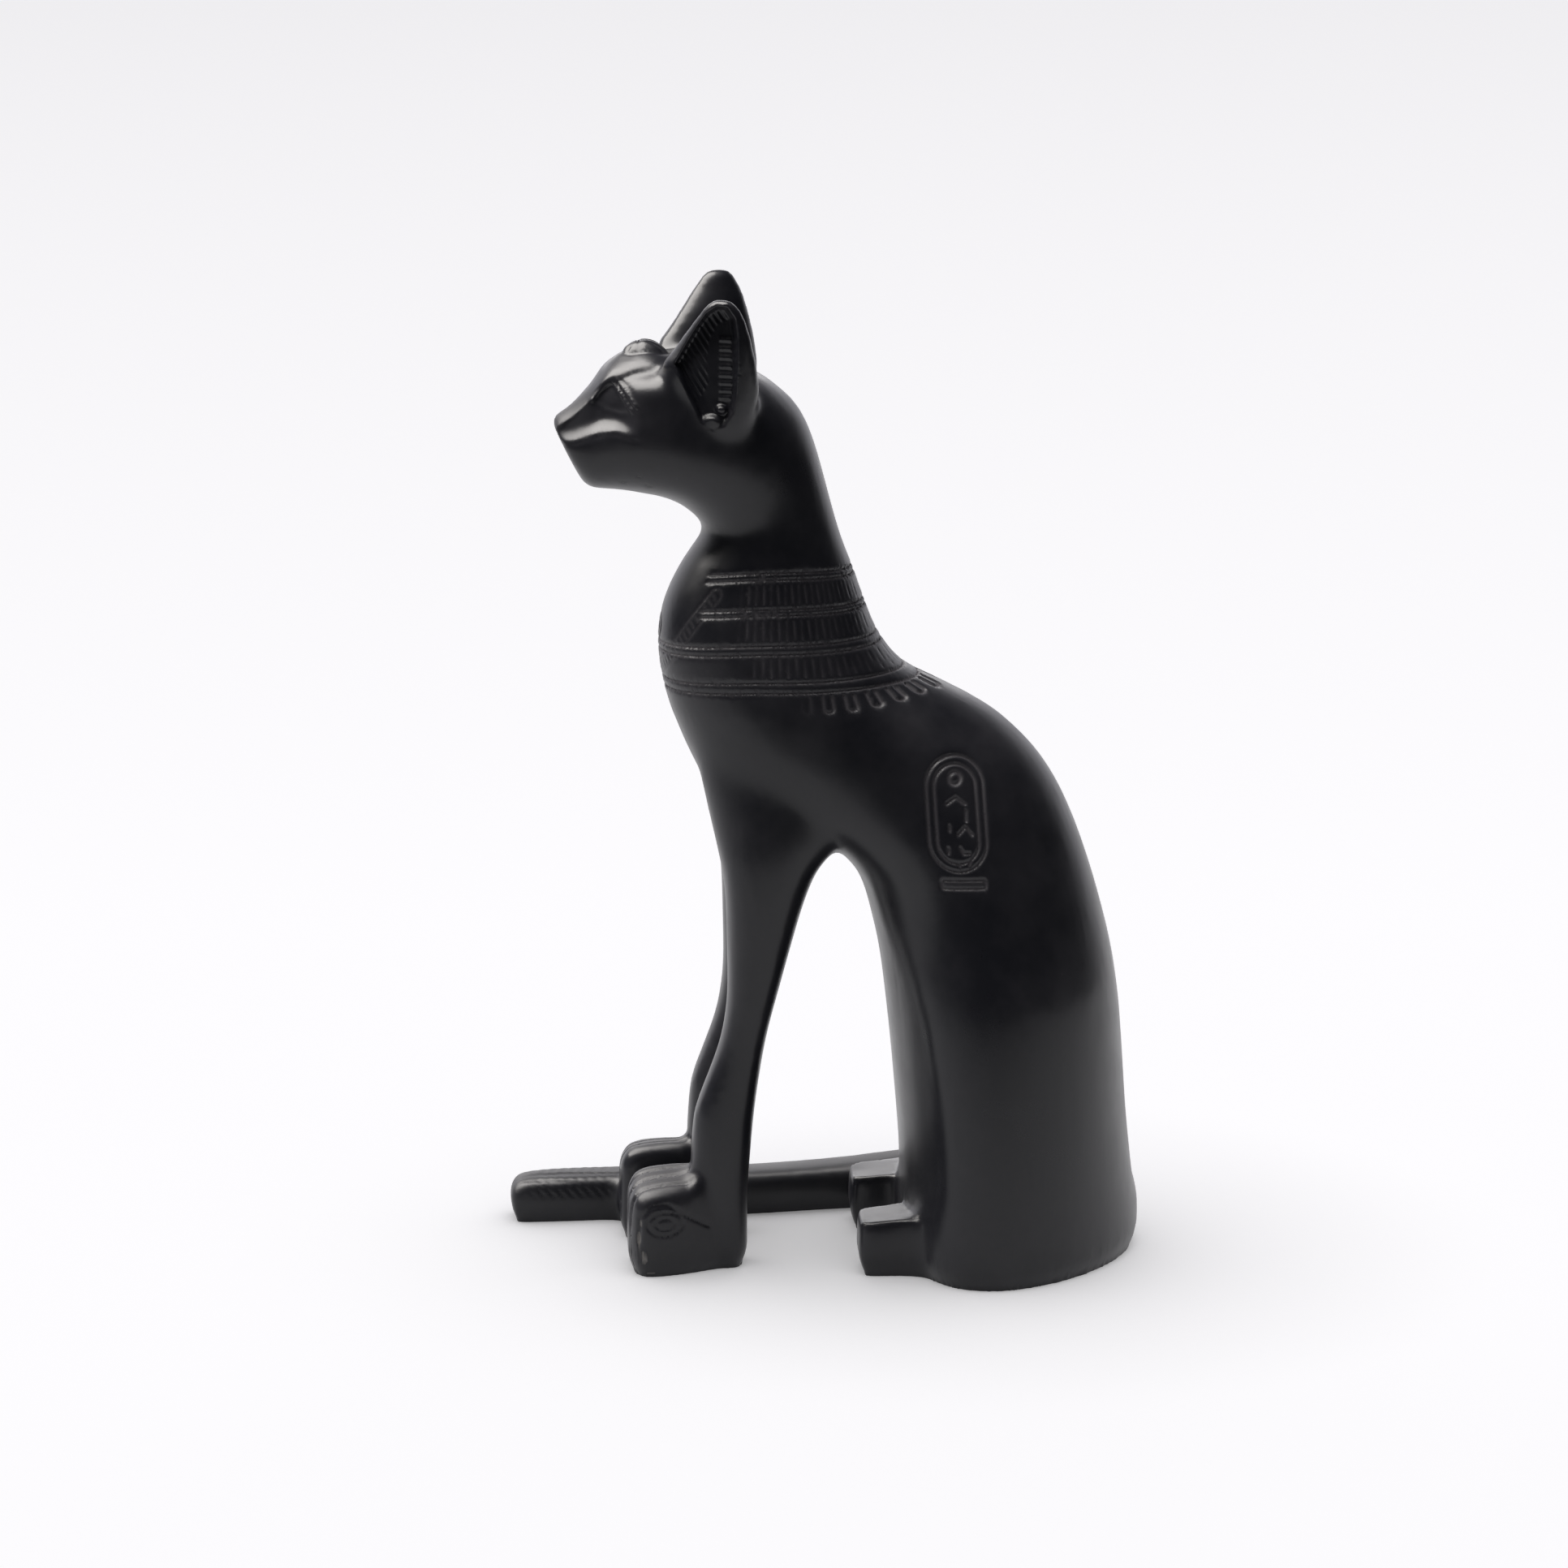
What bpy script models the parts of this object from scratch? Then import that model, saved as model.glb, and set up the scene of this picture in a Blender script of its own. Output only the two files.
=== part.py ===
# Seated cat figure, cast in one piece: run with blender --background --python part.py
# Stations are in millimetres, with X = 0 on the cat's middle plane, +X its left side,
# -Y the way it faces and Z up from its underside. The finished mesh is in metres, with
# its origin under the middle of its box.
import bpy
import bmesh
import numpy as np
from mathutils import Matrix

MM = 0.001                      # one millimetre in metres
CELL = 0.62                     # size of the cells that fuse the limbs into one skin
KEEP_FACES = 8600               # triangles left in the finished solid, about
HEAD_CARE = 0.01                # how much dearer the head's triangles are to drop
SHARP_HOLLOW = 0.013            # inner corners rounder than this are left as they are
BELOW_FLOOR = -4.0              # limbs start under the floor and are cut flat at Z = 0
RING_POINTS = 72
ROWS_PER_SPAN = 8

# Trunk, neck and head are one loft. Each row is a cut from the belly or throat side
# to the back or brow side: belly Y, Z, back Y, Z, half width, place of the widest
# point from belly to back, and the roundness of the belly half and of the back half.
TRUNK = (
    (17.8, -4.0, 54.3, -4.0, 25.8, 0.37, 2.2, 1.60),
    (17.8, 5.0, 54.3, 5.0, 26.2, 0.37, 2.2, 1.60),
    (17.8, 15.0, 53.2, 15.0, 26.2, 0.38, 2.2, 1.70),
    (17.1, 24.0, 52.3, 24.0, 26.0, 0.39, 2.2, 1.80),
    (16.3, 33.0, 51.8, 33.0, 25.4, 0.40, 2.2, 1.90),
    (15.3, 42.0, 50.9, 42.5, 24.2, 0.42, 2.2, 2.00),
    (13.8, 51.0, 49.3, 51.0, 22.6, 0.44, 2.2, 2.00),
    (11.0, 60.1, 46.8, 60.0, 20.8, 0.46, 2.2, 2.00),
    (5.0, 66.0, 43.2, 70.0, 19.2, 0.48, 2.3, 2.00),
    (-1.5, 68.5, 38.7, 77.9, 18.0, 0.50, 2.4, 2.00),
    (-7.0, 71.2, 32.2, 84.3, 17.3, 0.50, 2.4, 2.00),
    (-12.2, 75.0, 24.8, 88.5, 16.9, 0.50, 2.4, 2.00),
    (-15.6, 81.5, 18.7, 92.3, 16.3, 0.50, 2.3, 2.00),
    (-18.2, 89.0, 15.3, 97.0, 15.3, 0.50, 2.2, 2.00),
    (-19.1, 96.5, 12.8, 102.1, 14.2, 0.50, 2.2, 2.00),
    (-17.8, 103.0, 10.6, 107.1, 12.9, 0.50, 2.1, 2.00),
    (-14.5, 109.2, 8.6, 111.5, 11.6, 0.50, 2.1, 2.00),
    (-11.9, 112.8, 7.3, 116.0, 11.1, 0.50, 2.1, 2.00),
    (-13.0, 114.4, 6.0, 121.0, 11.5, 0.50, 2.1, 2.00),
    (-15.4, 116.4, 4.3, 127.0, 12.5, 0.50, 2.1, 2.00),
    (-18.5, 117.9, 1.7, 132.0, 13.2, 0.50, 2.1, 2.10),
    (-21.2, 118.6, -3.5, 136.2, 13.3, 0.52, 2.1, 2.30),
    (-23.6, 118.9, -9.5, 138.4, 12.8, 0.55, 2.1, 2.60),
    (-25.8, 119.0, -16.0, 139.2, 11.6, 0.56, 2.1, 2.90),
    (-27.6, 119.0, -21.8, 138.9, 9.9, 0.54, 2.2, 3.00),
    (-28.8, 119.1, -25.9, 137.8, 8.3, 0.50, 2.4, 2.80),
    (-29.7, 119.4, -29.0, 134.6, 7.0, 0.46, 2.2, 2.10),
    (-30.6, 120.2, -31.9, 131.6, 6.1, 0.48, 2.1, 1.90),
    (-31.3, 121.4, -34.4, 129.8, 4.9, 0.52, 2.0, 1.80),
    (-31.7, 122.4, -34.8, 129.3, 3.3, 0.54, 2.0, 1.90),
    (-31.9, 123.2, -34.7, 128.8, 1.6, 0.54, 2.0, 2.00),
)

# Front leg, from the floor up: Z, front Y, back Y, inner X, outer X, roundness.
FRONT_LEG = (
    (-4.0, -13.0, -6.0, 5.4, 12.0, 2.6),
    (6.0, -13.4, -6.0, 5.2, 12.6, 2.6),
    (13.0, -14.4, -5.9, 4.8, 13.2, 2.6),
    (20.0, -14.6, -5.3, 4.5, 13.5, 2.5),
    (25.0, -14.0, -4.8, 4.5, 13.5, 2.5),
    (30.0, -12.1, -4.1, 4.4, 13.5, 2.5),
    (36.0, -10.0, -3.1, 4.2, 13.7, 2.5),
    (43.0, -9.0, -1.3, 3.8, 14.2, 2.5),
    (50.0, -9.1, 0.6, 3.0, 14.8, 2.5),
    (57.0, -9.2, 2.6, 2.0, 15.4, 2.5),
    (62.0, -9.7, 4.7, 0.8, 15.8, 2.5),
    (67.0, -10.9, 8.5, -0.5, 15.8, 2.4),
    (74.0, -12.5, 11.0, -1.0, 15.0, 2.2),
    (81.0, -14.0, 9.0, -1.0, 12.6, 2.0),
)

# Front paw, from the toes back: Y, inner X, outer X, top Z, roundness.
FRONT_PAW = (
    (-24.2, 5.4, 11.6, 11.2, 3.2),
    (-23.1, 4.2, 14.6, 13.4, 4.0),
    (-21.2, 3.8, 16.5, 14.6, 4.4),
    (-18.0, 3.8, 15.8, 15.0, 4.4),
    (-14.5, 3.9, 14.4, 15.0, 4.0),
    (-10.5, 4.3, 12.6, 14.6, 3.4),
    (-6.0, 5.2, 9.8, 13.0, 2.6),
)

# Hind foot, from the toes back into the haunch: the same columns as the paw.
HIND_FOOT = (
    (10.7, 8.2, 16.4, 8.6, 4.5),
    (12.2, 7.6, 17.4, 9.2, 5.0),
    (15.0, 7.4, 17.4, 9.2, 5.0),
    (18.0, 7.4, 17.4, 9.4, 4.5),
    (22.0, 8.0, 18.0, 9.6, 3.5),
    (27.0, 8.0, 19.0, 9.6, 3.0),
)

# Tail, from its root behind the rump, round the right haunch, to the tip beyond the
# toes: X, Y, half width, height, roundness.
TAIL = (
    (8.0, 46.0, 5.0, 13.0, 2.2),
    (-1.0, 49.4, 5.2, 14.0, 2.4),
    (-10.0, 47.6, 5.2, 13.2, 2.6),
    (-18.5, 41.6, 5.0, 11.4, 2.8),
    (-23.8, 32.0, 4.7, 9.6, 3.0),
    (-24.9, 21.0, 4.5, 7.8, 3.2),
    (-23.4, 9.0, 4.4, 6.8, 3.4),
    (-20.9, -6.0, 4.3, 6.6, 3.8),
    (-18.9, -24.0, 4.2, 7.1, 4.2),
    (-17.9, -38.0, 4.1, 7.1, 4.2),
    (-17.8, -40.6, 3.9, 6.5, 3.6),
    (-17.8, -41.9, 3.0, 5.0, 3.0),
)

# Left ear, from inside the skull to the tip: Z, front Y, back Y, inner X, outer X, and
# how far the rear rim stands outside the front rim.
EAR = (
    (126.0, -14.0, -6.0, 4.6, 11.8, 0.5),
    (131.0, -15.6, -4.9, 5.2, 13.6, 1.0),
    (135.0, -17.2, -4.1, 6.0, 14.0, 1.6),
    (139.0, -18.6, -4.3, 7.0, 14.4, 2.0),
    (142.0, -16.8, -4.9, 8.4, 14.8, 2.0),
    (145.0, -14.9, -5.6, 10.0, 15.2, 1.6),
    (147.2, -13.5, -6.3, 11.4, 15.6, 1.2),
    (149.0, -12.3, -7.3, 12.4, 15.9, 0.8),
    (150.1, -11.2, -8.3, 13.2, 15.6, 0.4),
)
RIGHT_EAR_BACK = 0.4            # the right ear stands this much farther back
RIGHT_PAW_AHEAD = 0.8           # and the right paw this much farther ahead

# Lines of the carving, seen from the side: Y, Z.
THIGH_LINE = ((9.2, 65.1), (12.6, 59.0), (16.4, 50.4), (19.6, 44.2), (22.0, 37.0),
              (23.8, 30.4), (24.4, 24.0), (24.6, 16.0), (25.0, 6.0))
FLANK_HOLLOW = ((12.6, 55.0), (15.8, 49.0), (18.0, 43.0), (19.4, 36.0), (20.2, 29.0),
                (20.4, 22.0), (20.2, 15.5), (20.0, 12.0))
BROW_LINE = ((-29.6, 135.4), (-28.0, 137.0), (-26.0, 138.1), (-23.0, 138.7), (-17.0, 139.0))
MOUTH_LINE = ((-34.0, 126.6), (-31.0, 127.2), (-28.8, 127.9), (-27.2, 128.9),
              (-25.4, 129.1), (-23.6, 128.5), (-20.0, 128.0))
EYE_OUTLINE = ((-29.4, 133.2), (-27.6, 135.5), (-25.9, 136.5), (-24.2, 135.6),
               (-22.0, 132.9), (-25.0, 132.0), (-27.8, 132.1), (-29.4, 133.2))
COLLAR_RINGS = (106.9, 101.6, 95.7, 90.0)
CARTOUCHE = (24.9, 67.0, 76.8, 4.4)    # middle Y, lower and upper centres in Z, radius
TOE_GAPS = (-2.9, 0.0, 2.9)            # across a paw, from its middle
TAIL_RINGS = (-40.0, -37.2, -34.4, -31.6, -28.8)


def smooth_rows(rows, per_span):
    """Rows between the stations, on a cubic through every station."""
    values = np.array(rows, float)
    at = np.linspace(0, len(values) - 1, per_span * (len(values) - 1) + 1)
    slopes = np.gradient(values, axis=0)
    low = np.minimum(at.astype(int), len(values) - 2)
    t = (at - low)[:, None]
    return (
        values[low] * (2 * t**3 - 3 * t**2 + 1)
        + slopes[low] * (t**3 - 2 * t**2 + t)
        + values[low + 1] * (3 * t**2 - 2 * t**3)
        + slopes[low + 1] * (t**3 - t**2)
    )


def superellipse(roundness):
    """Unit outlines, one for each row: 2 is an ellipse, and more is squarer."""
    angle = np.linspace(0, 2 * np.pi, RING_POINTS, endpoint=False)
    power = 2 / np.asarray(roundness, float)[:, None]
    across = np.sign(np.cos(angle)) * np.abs(np.cos(angle)) ** power
    along = np.sign(np.sin(angle)) * np.abs(np.sin(angle)) ** power
    return across, along


def closed_loft(rings):
    """One closed mesh through rings of points, with a fan over each end."""
    count = rings.shape[1]
    skin = bmesh.new()
    loops = [[skin.verts.new(point) for point in ring] for ring in rings]
    for lower, upper in zip(loops, loops[1:]):
        for i in range(count):
            j = (i + 1) % count
            skin.faces.new((lower[i], lower[j], upper[j], upper[i]))
    skin.faces.new(list(reversed(loops[0])))
    skin.faces.new(loops[-1])
    bmesh.ops.triangulate(skin, faces=[f for f in skin.faces if len(f.verts) > 4])
    bmesh.ops.recalc_face_normals(skin, faces=skin.faces)
    return skin


def trunk_rings():
    """Cuts that fan round the arch and the throat, from the floor to the nose."""
    rows = smooth_rows(TRUNK, ROWS_PER_SPAN)
    belly, back = rows[:, 0:2], rows[:, 2:4]
    half, widest = rows[:, 4, None], rows[:, 5, None]
    front_side, front_run = superellipse(rows[:, 6])
    back_side, back_run = superellipse(rows[:, 7])
    towards_back = front_run > 0
    side = np.where(towards_back, back_side, front_side)
    run = widest + np.where(towards_back, back_run * (1 - widest), front_run * widest)
    centre = belly[:, None] + run[..., None] * (back - belly)[:, None]
    return np.dstack([half * side, centre])


def column_rings(rows, roundness, lean):
    """Level cuts through an upright limb, from its front, back, inner and outer lines."""
    z, front, back, inner, outer = (rows[:, i, None] for i in range(5))
    across, along = superellipse(roundness)
    x = (inner + outer) / 2 + (outer - inner) / 2 * across + lean[:, None] * along
    y = (front + back) / 2 + (back - front) / 2 * along
    return np.dstack([x, y, z + 0 * x])


def foot_rings(rows):
    """Upright cuts across a foot, rounded above and carried under the floor."""
    y, inner, outer, top = (rows[:, i, None] for i in range(4))
    across, along = superellipse(rows[:, 4])
    x = (inner + outer) / 2 + (outer - inner) / 2 * across
    z = (top + BELOW_FLOOR) / 2 + (top - BELOW_FLOOR) / 2 * along
    return np.dstack([x, y + 0 * x, z])


def tail_rings():
    """Upright cuts across the tail, square to its run over the floor."""
    rows = smooth_rows(TAIL, ROWS_PER_SPAN)
    run = np.gradient(rows[:, :2], axis=0)
    run /= np.linalg.norm(run, axis=1, keepdims=True)
    across, along = superellipse(rows[:, 4])
    x = rows[:, 0, None] + run[:, 1, None] * rows[:, 2, None] * across
    y = rows[:, 1, None] - run[:, 0, None] * rows[:, 2, None] * across
    top = rows[:, 3, None]
    return np.dstack([x, y, (top + BELOW_FLOOR) / 2 + (top - BELOW_FLOOR) / 2 * along])


def joined_limbs():
    """Every limb as a closed loft, all in one mesh, still overlapping."""
    leg = smooth_rows(FRONT_LEG, ROWS_PER_SPAN)
    leg = column_rings(leg, leg[:, 5], 0 * leg[:, 0])
    ear = smooth_rows(EAR, ROWS_PER_SPAN)
    ear = column_rings(ear, np.full(len(ear), 2.2), ear[:, 5])
    paw = foot_rings(smooth_rows(FRONT_PAW, ROWS_PER_SPAN))
    foot = foot_rings(smooth_rows(HIND_FOOT, ROWS_PER_SPAN))
    other_side = np.array([-1.0, 1.0, 1.0])
    limbs = [trunk_rings(), tail_rings(), ear, ear * other_side + (0, RIGHT_EAR_BACK, 0)]
    for limb, ahead in ((leg, 0), (paw, RIGHT_PAW_AHEAD), (foot, 0)):
        limbs += [limb, limb * other_side - (0, ahead, 0)]
    whole = bpy.data.meshes.new("limbs")
    gathered = bmesh.new()
    for rings in limbs:
        loft = closed_loft(rings)
        loft.to_mesh(whole)
        loft.free()
        gathered.from_mesh(whole)
    gathered.to_mesh(whole)
    gathered.free()
    return whole


def fused(mesh):
    """The overlapping limbs as one skin of small even cells."""
    holder = bpy.data.objects.new("holder", mesh)
    bpy.context.scene.collection.objects.link(holder)
    step = holder.modifiers.new("fuse", "REMESH")
    step.mode = "VOXEL"
    step.voxel_size = CELL
    graph = bpy.context.evaluated_depsgraph_get()
    result = bpy.data.meshes.new_from_object(holder.evaluated_get(graph), depsgraph=graph)
    bpy.data.objects.remove(holder)
    return result


def points_of(mesh):
    flat = np.empty(len(mesh.vertices) * 3, np.float32)
    mesh.vertices.foreach_get("co", flat)
    return flat.reshape(-1, 3).astype(float)


def normals_of(mesh):
    flat = np.empty(len(mesh.vertices) * 3, np.float32)
    mesh.vertex_normals.foreach_get("vector", flat)
    return flat.reshape(-1, 3).astype(float)


def edges_of(mesh):
    flat = np.empty(len(mesh.edges) * 2, np.int32)
    mesh.edges.foreach_get("vertices", flat)
    return flat.reshape(-1, 2)


def put_points(mesh, points):
    mesh.vertices.foreach_set("co", points.astype(np.float32).ravel())
    mesh.update()


def pull_to_neighbours(points, edges):
    """For each vertex, the way from it to the mean of its neighbours."""
    count = len(points)
    share = np.bincount(edges.ravel(), minlength=count)
    total = np.empty_like(points)
    for axis in range(3):
        ahead = np.bincount(edges[:, 0], points[edges[:, 1], axis], count)
        behind = np.bincount(edges[:, 1], points[edges[:, 0], axis], count)
        total[:, axis] = (ahead + behind) / share
    return total - points


def rise(value, low, high):
    t = np.clip((value - low) / (high - low), 0, 1)
    return t * t * (3 - 2 * t)


def shoulder_blend(points):
    """1 where the front legs grow into the chest, falling to 0 around it."""
    away = np.column_stack([np.abs(points[:, 0]) - 13, points[:, 1] + 7, points[:, 2] - 74])
    return 1 - rise(np.linalg.norm(away / (7.0, 8.0, 9.0), axis=1), 0.5, 1.2)


def softened(mesh):
    """Fillets in the inner corners, then the steps of the cells evened out."""
    edges = edges_of(mesh)
    points = points_of(mesh)
    for step in range(5):
        points += 0.5 * pull_to_neighbours(points, edges)
    put_points(mesh, points)
    for step in range(45):
        pull = pull_to_neighbours(points, edges)
        normal = normals_of(mesh)
        hollow = np.sum(pull * normal, axis=1, keepdims=True)
        points += 0.55 * np.maximum(hollow - SHARP_HOLLOW, 0) * normal
        put_points(mesh, points)
    for step in range(70):
        blend = np.minimum(0.5 * shoulder_blend(points) + 0.5 * (step < 8), 0.5)
        points += blend[:, None] * pull_to_neighbours(points, edges)
    put_points(mesh, points)


def from_line(seen, line):
    """Distance of each seen point from a line of corners, above 0 on its left side."""
    corners = np.array(line, float)
    start, run = corners[:-1], np.diff(corners, axis=0)
    away = seen[:, None] - start
    t = np.clip(np.sum(away * run, axis=2) / np.sum(run * run, axis=1), 0, 1)
    gap = away - t[..., None] * run
    size = np.linalg.norm(gap, axis=2)
    nearest = np.argmin(size, axis=1)
    pick = np.arange(len(seen))
    run, gap = run[nearest], gap[pick, nearest]
    turn = run[:, 0] * gap[:, 1] - run[:, 1] * gap[:, 0]
    return size[pick, nearest] * np.where(turn < 0, -1, 1)


def bump(distance, width):
    return np.exp(-((distance / width) ** 2))


def head_forms(point, normal):
    """Scarab, brow, temples, eyeballs, lips and nose, as heights over the skin."""
    side, y, z = np.abs(point[:, 0]), point[:, 1], point[:, 2]
    head = rise(z, 117, 119) * rise(-y, 13, 17)
    reach = np.sqrt(((y + 21.0) / 4.8) ** 2 + (side / 4.0) ** 2)
    height = 2.5 * (1 - rise(reach, 0.2, 1.0)) * rise(normal[:, 2], 0.1, 0.5) * head
    above = from_line(point[:, 1:], BROW_LINE)
    brow = head * rise(side, 2.5, 5.5) * rise(-y, 16.5, 20.5) * rise(y, -30, -27)
    height += brow * (0.25 * bump(above - 1.1, 1.0) - 0.70 * bump(above + 0.6, 0.85))
    temple = bump(np.hypot(y + 21.0, (z - 136.4) * 1.3), 2.6)
    height += 0.25 * temple * head * rise(side, 5, 8)
    eye = np.hypot((y + 25.8) / 3.4, (z - 133.9) / 2.2)
    height += head * rise(side, 3, 5) * 0.40 * (1 - rise(eye, 0.45, 1.0))
    height -= head * rise(side, 3, 5) * 0.20 * bump(eye - 1.25, 0.25)
    above = from_line(point[:, 1:], MOUTH_LINE)
    lips = head * rise(side, 0.6, 3.0) * rise(-y, 19.5, 23.5) * rise(y, -34.0, -30.5)
    height += lips * (0.55 * bump(above - 1.8, 1.5) - 0.75 * bump(above + 1.1, 1.3))
    bridge = head * bump(side - 4.6, 1.4) * rise(z, 129.5, 132) * rise(y, -34, -31)
    height -= 0.5 * bridge * rise(-y, 27, 29.5)
    return height


def body_forms(point):
    """The thigh's front edge with the hollow before it, as heights over the skin."""
    side, z = np.abs(point[:, 0]), point[:, 2]
    flank = rise(side, 7, 12)
    thigh = bump(from_line(point[:, 1:], THIGH_LINE), 3.0)
    hollow = bump(from_line(point[:, 1:], FLANK_HOLLOW), 2.6)
    height = 0.7 * flank * thigh * rise(z, 12, 26) * rise(66 - z, 0, 12)
    return height - 1.2 * flank * hollow * rise(z, 9, 13) * rise(60 - z, 0, 14)


def hollow_ears(point, normal):
    """The ears' outer faces, sunk between their rims."""
    side = np.sign(point[:, 0])
    y = point[:, 1] - np.where(side < 0, RIGHT_EAR_BACK, 0)
    reach = np.hypot((y + 11.5) / 4.5, (point[:, 2] - 139.4) / 9.2)
    face = rise(normal[:, 0] * side, 0.0, 0.5) * rise(np.abs(point[:, 0]), 6.5, 9.0)
    sink = 1.9 * (1 - rise(reach, 0.25, 1.0)) * face
    point[:, 0] -= side * sink * 0.9
    point[:, 1] += sink * 0.3


def fine_lines(point, normal):
    """Eye rims, mouth, collar, cartouche, toes and tail rings, as depths."""
    side, y, z = np.abs(point[:, 0]), point[:, 1], point[:, 2]
    seen = point[:, 1:]
    head = rise(z, 117, 119) * rise(-y, 18, 20)
    depth = -0.22 * head * rise(side, 3, 5) * bump(from_line(seen, EYE_OUTLINE), 0.5)
    lips = head * rise(-y, 20, 22) * rise(side, 0.5, 2.5) * rise(y, -34.0, -31.5)
    depth += 0.3 * lips * bump(from_line(seen, MOUTH_LINE) + 0.2, 0.5)
    for level in COLLAR_RINGS:
        ring = level + 1.0 * (side / 14) ** 2
        depth += 0.34 * bump(z - ring, 0.62)
    middle, low, high, radius = CARTOUCHE
    across = y - middle
    ring = np.hypot(across, z - np.clip(z, low, high)) - radius
    bar = np.maximum(np.abs(across) - 3.2, 0) + np.abs(z - (low - radius - 1.4))
    depth += (point[:, 0] > 8) * 0.34 * np.maximum(bump(ring, 0.55), bump(bar, 0.5))
    front_or_top = rise(normal[:, 2] - normal[:, 1], 0.3, 0.8)
    for gap in TOE_GAPS:
        toes = front_or_top * rise(-y, 13.5, 16) * rise(z, 3, 6) * (side > 2) * (side < 17.5)
        depth += toes * 0.55 * bump(side - 9.9 - gap, 0.6)
        toes = front_or_top * rise(20 - y, 0, 2) * rise(y, 7, 9) * rise(z, 2, 4) * (side < 18.5)
        depth += toes * 0.45 * bump(side - 12.4 - gap * 0.85, 0.55)
    tail = (point[:, 0] < -10) * rise(normal[:, 2], 0.3, 0.7) * rise(-y, 26, 28)
    for level in TAIL_RINGS:
        bow = level + 0.09 * (point[:, 0] + 17.8) ** 2
        depth += tail * 0.35 * bump(y - bow, 0.55)
    return depth


def carved(mesh):
    """Broad forms first, evened out, then the lines cut into them."""
    normal = normals_of(mesh)
    point = points_of(mesh)
    hollow_ears(point, normal)
    height = head_forms(point, normal) + body_forms(point)
    point += height[:, None] * normal
    edges = edges_of(mesh)
    for step in range(3):
        point += 0.5 * pull_to_neighbours(point, edges)
    put_points(mesh, point)
    normal = normals_of(mesh)
    put_points(mesh, point - fine_lines(point, normal)[:, None] * normal)


def thinned(mesh, ratio):
    """Fewer triangles, with more of them kept on the head than on the body."""
    holder = bpy.data.objects.new("holder", mesh)
    bpy.context.scene.collection.objects.link(holder)
    points = points_of(mesh)
    head = rise(points[:, 2], 112, 118)
    group = holder.vertex_groups.new(name="thin_here")
    group.add(np.flatnonzero(head < 0.5).tolist(), 1.0, "REPLACE")
    group.add(np.flatnonzero(head >= 0.5).tolist(), 0.9, "REPLACE")
    step = holder.modifiers.new("thin", "DECIMATE")
    step.ratio = ratio
    step.vertex_group = group.name
    step.vertex_group_factor = HEAD_CARE
    graph = bpy.context.evaluated_depsgraph_get()
    result = bpy.data.meshes.new_from_object(holder.evaluated_get(graph), depsgraph=graph)
    bpy.data.objects.remove(holder)
    return result


def cut_level(mesh, level, fill):
    """Everything under a level removed, and the opening closed flat if asked."""
    skin = bmesh.new()
    skin.from_mesh(mesh)
    parts = list(skin.verts) + list(skin.edges) + list(skin.faces)
    bmesh.ops.bisect_plane(
        skin, geom=parts, dist=1e-6, plane_co=(0, 0, level), plane_no=(0, 0, 1), clear_inner=True
    )
    if fill:
        bmesh.ops.remove_doubles(skin, verts=skin.verts, dist=0.02)
        rim = [edge for edge in skin.edges if edge.is_boundary]
        bmesh.ops.holes_fill(skin, edges=rim, sides=0)
        bmesh.ops.triangulate(skin, faces=skin.faces)
        bmesh.ops.recalc_face_normals(skin, faces=skin.faces)
    skin.to_mesh(mesh)
    skin.free()


def cast_black():
    material = bpy.data.materials.new("cast_black")
    material.use_nodes = True
    shader = material.node_tree.nodes["Principled BSDF"]
    shader.inputs["Base Color"].default_value = (0.020, 0.020, 0.024, 1)
    shader.inputs["Roughness"].default_value = 0.42
    return material


def main():
    for obj in list(bpy.data.objects):
        bpy.data.objects.remove(obj)
    skin = fused(joined_limbs())
    softened(skin)
    carved(skin)
    cut_level(skin, -1.5, False)
    faces = sum(len(face.vertices) - 2 for face in skin.polygons)
    skin = thinned(skin, KEEP_FACES / faces)
    cut_level(skin, 0.0, True)
    points = points_of(skin)
    middle = (points.min(axis=0) + points.max(axis=0)) / 2
    points -= (middle[0], middle[1], 0)
    put_points(skin, points)
    skin.transform(Matrix.Scale(MM, 4))
    skin.shade_smooth()
    skin.set_sharp_from_angle(angle=np.radians(55))
    skin.materials.append(cast_black())
    skin.name = "bastet_cat"
    figure = bpy.data.objects.new("bastet_cat", skin)
    bpy.context.scene.collection.objects.link(figure)
    print("faces", len(skin.polygons), "middle", middle)


main()
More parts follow.
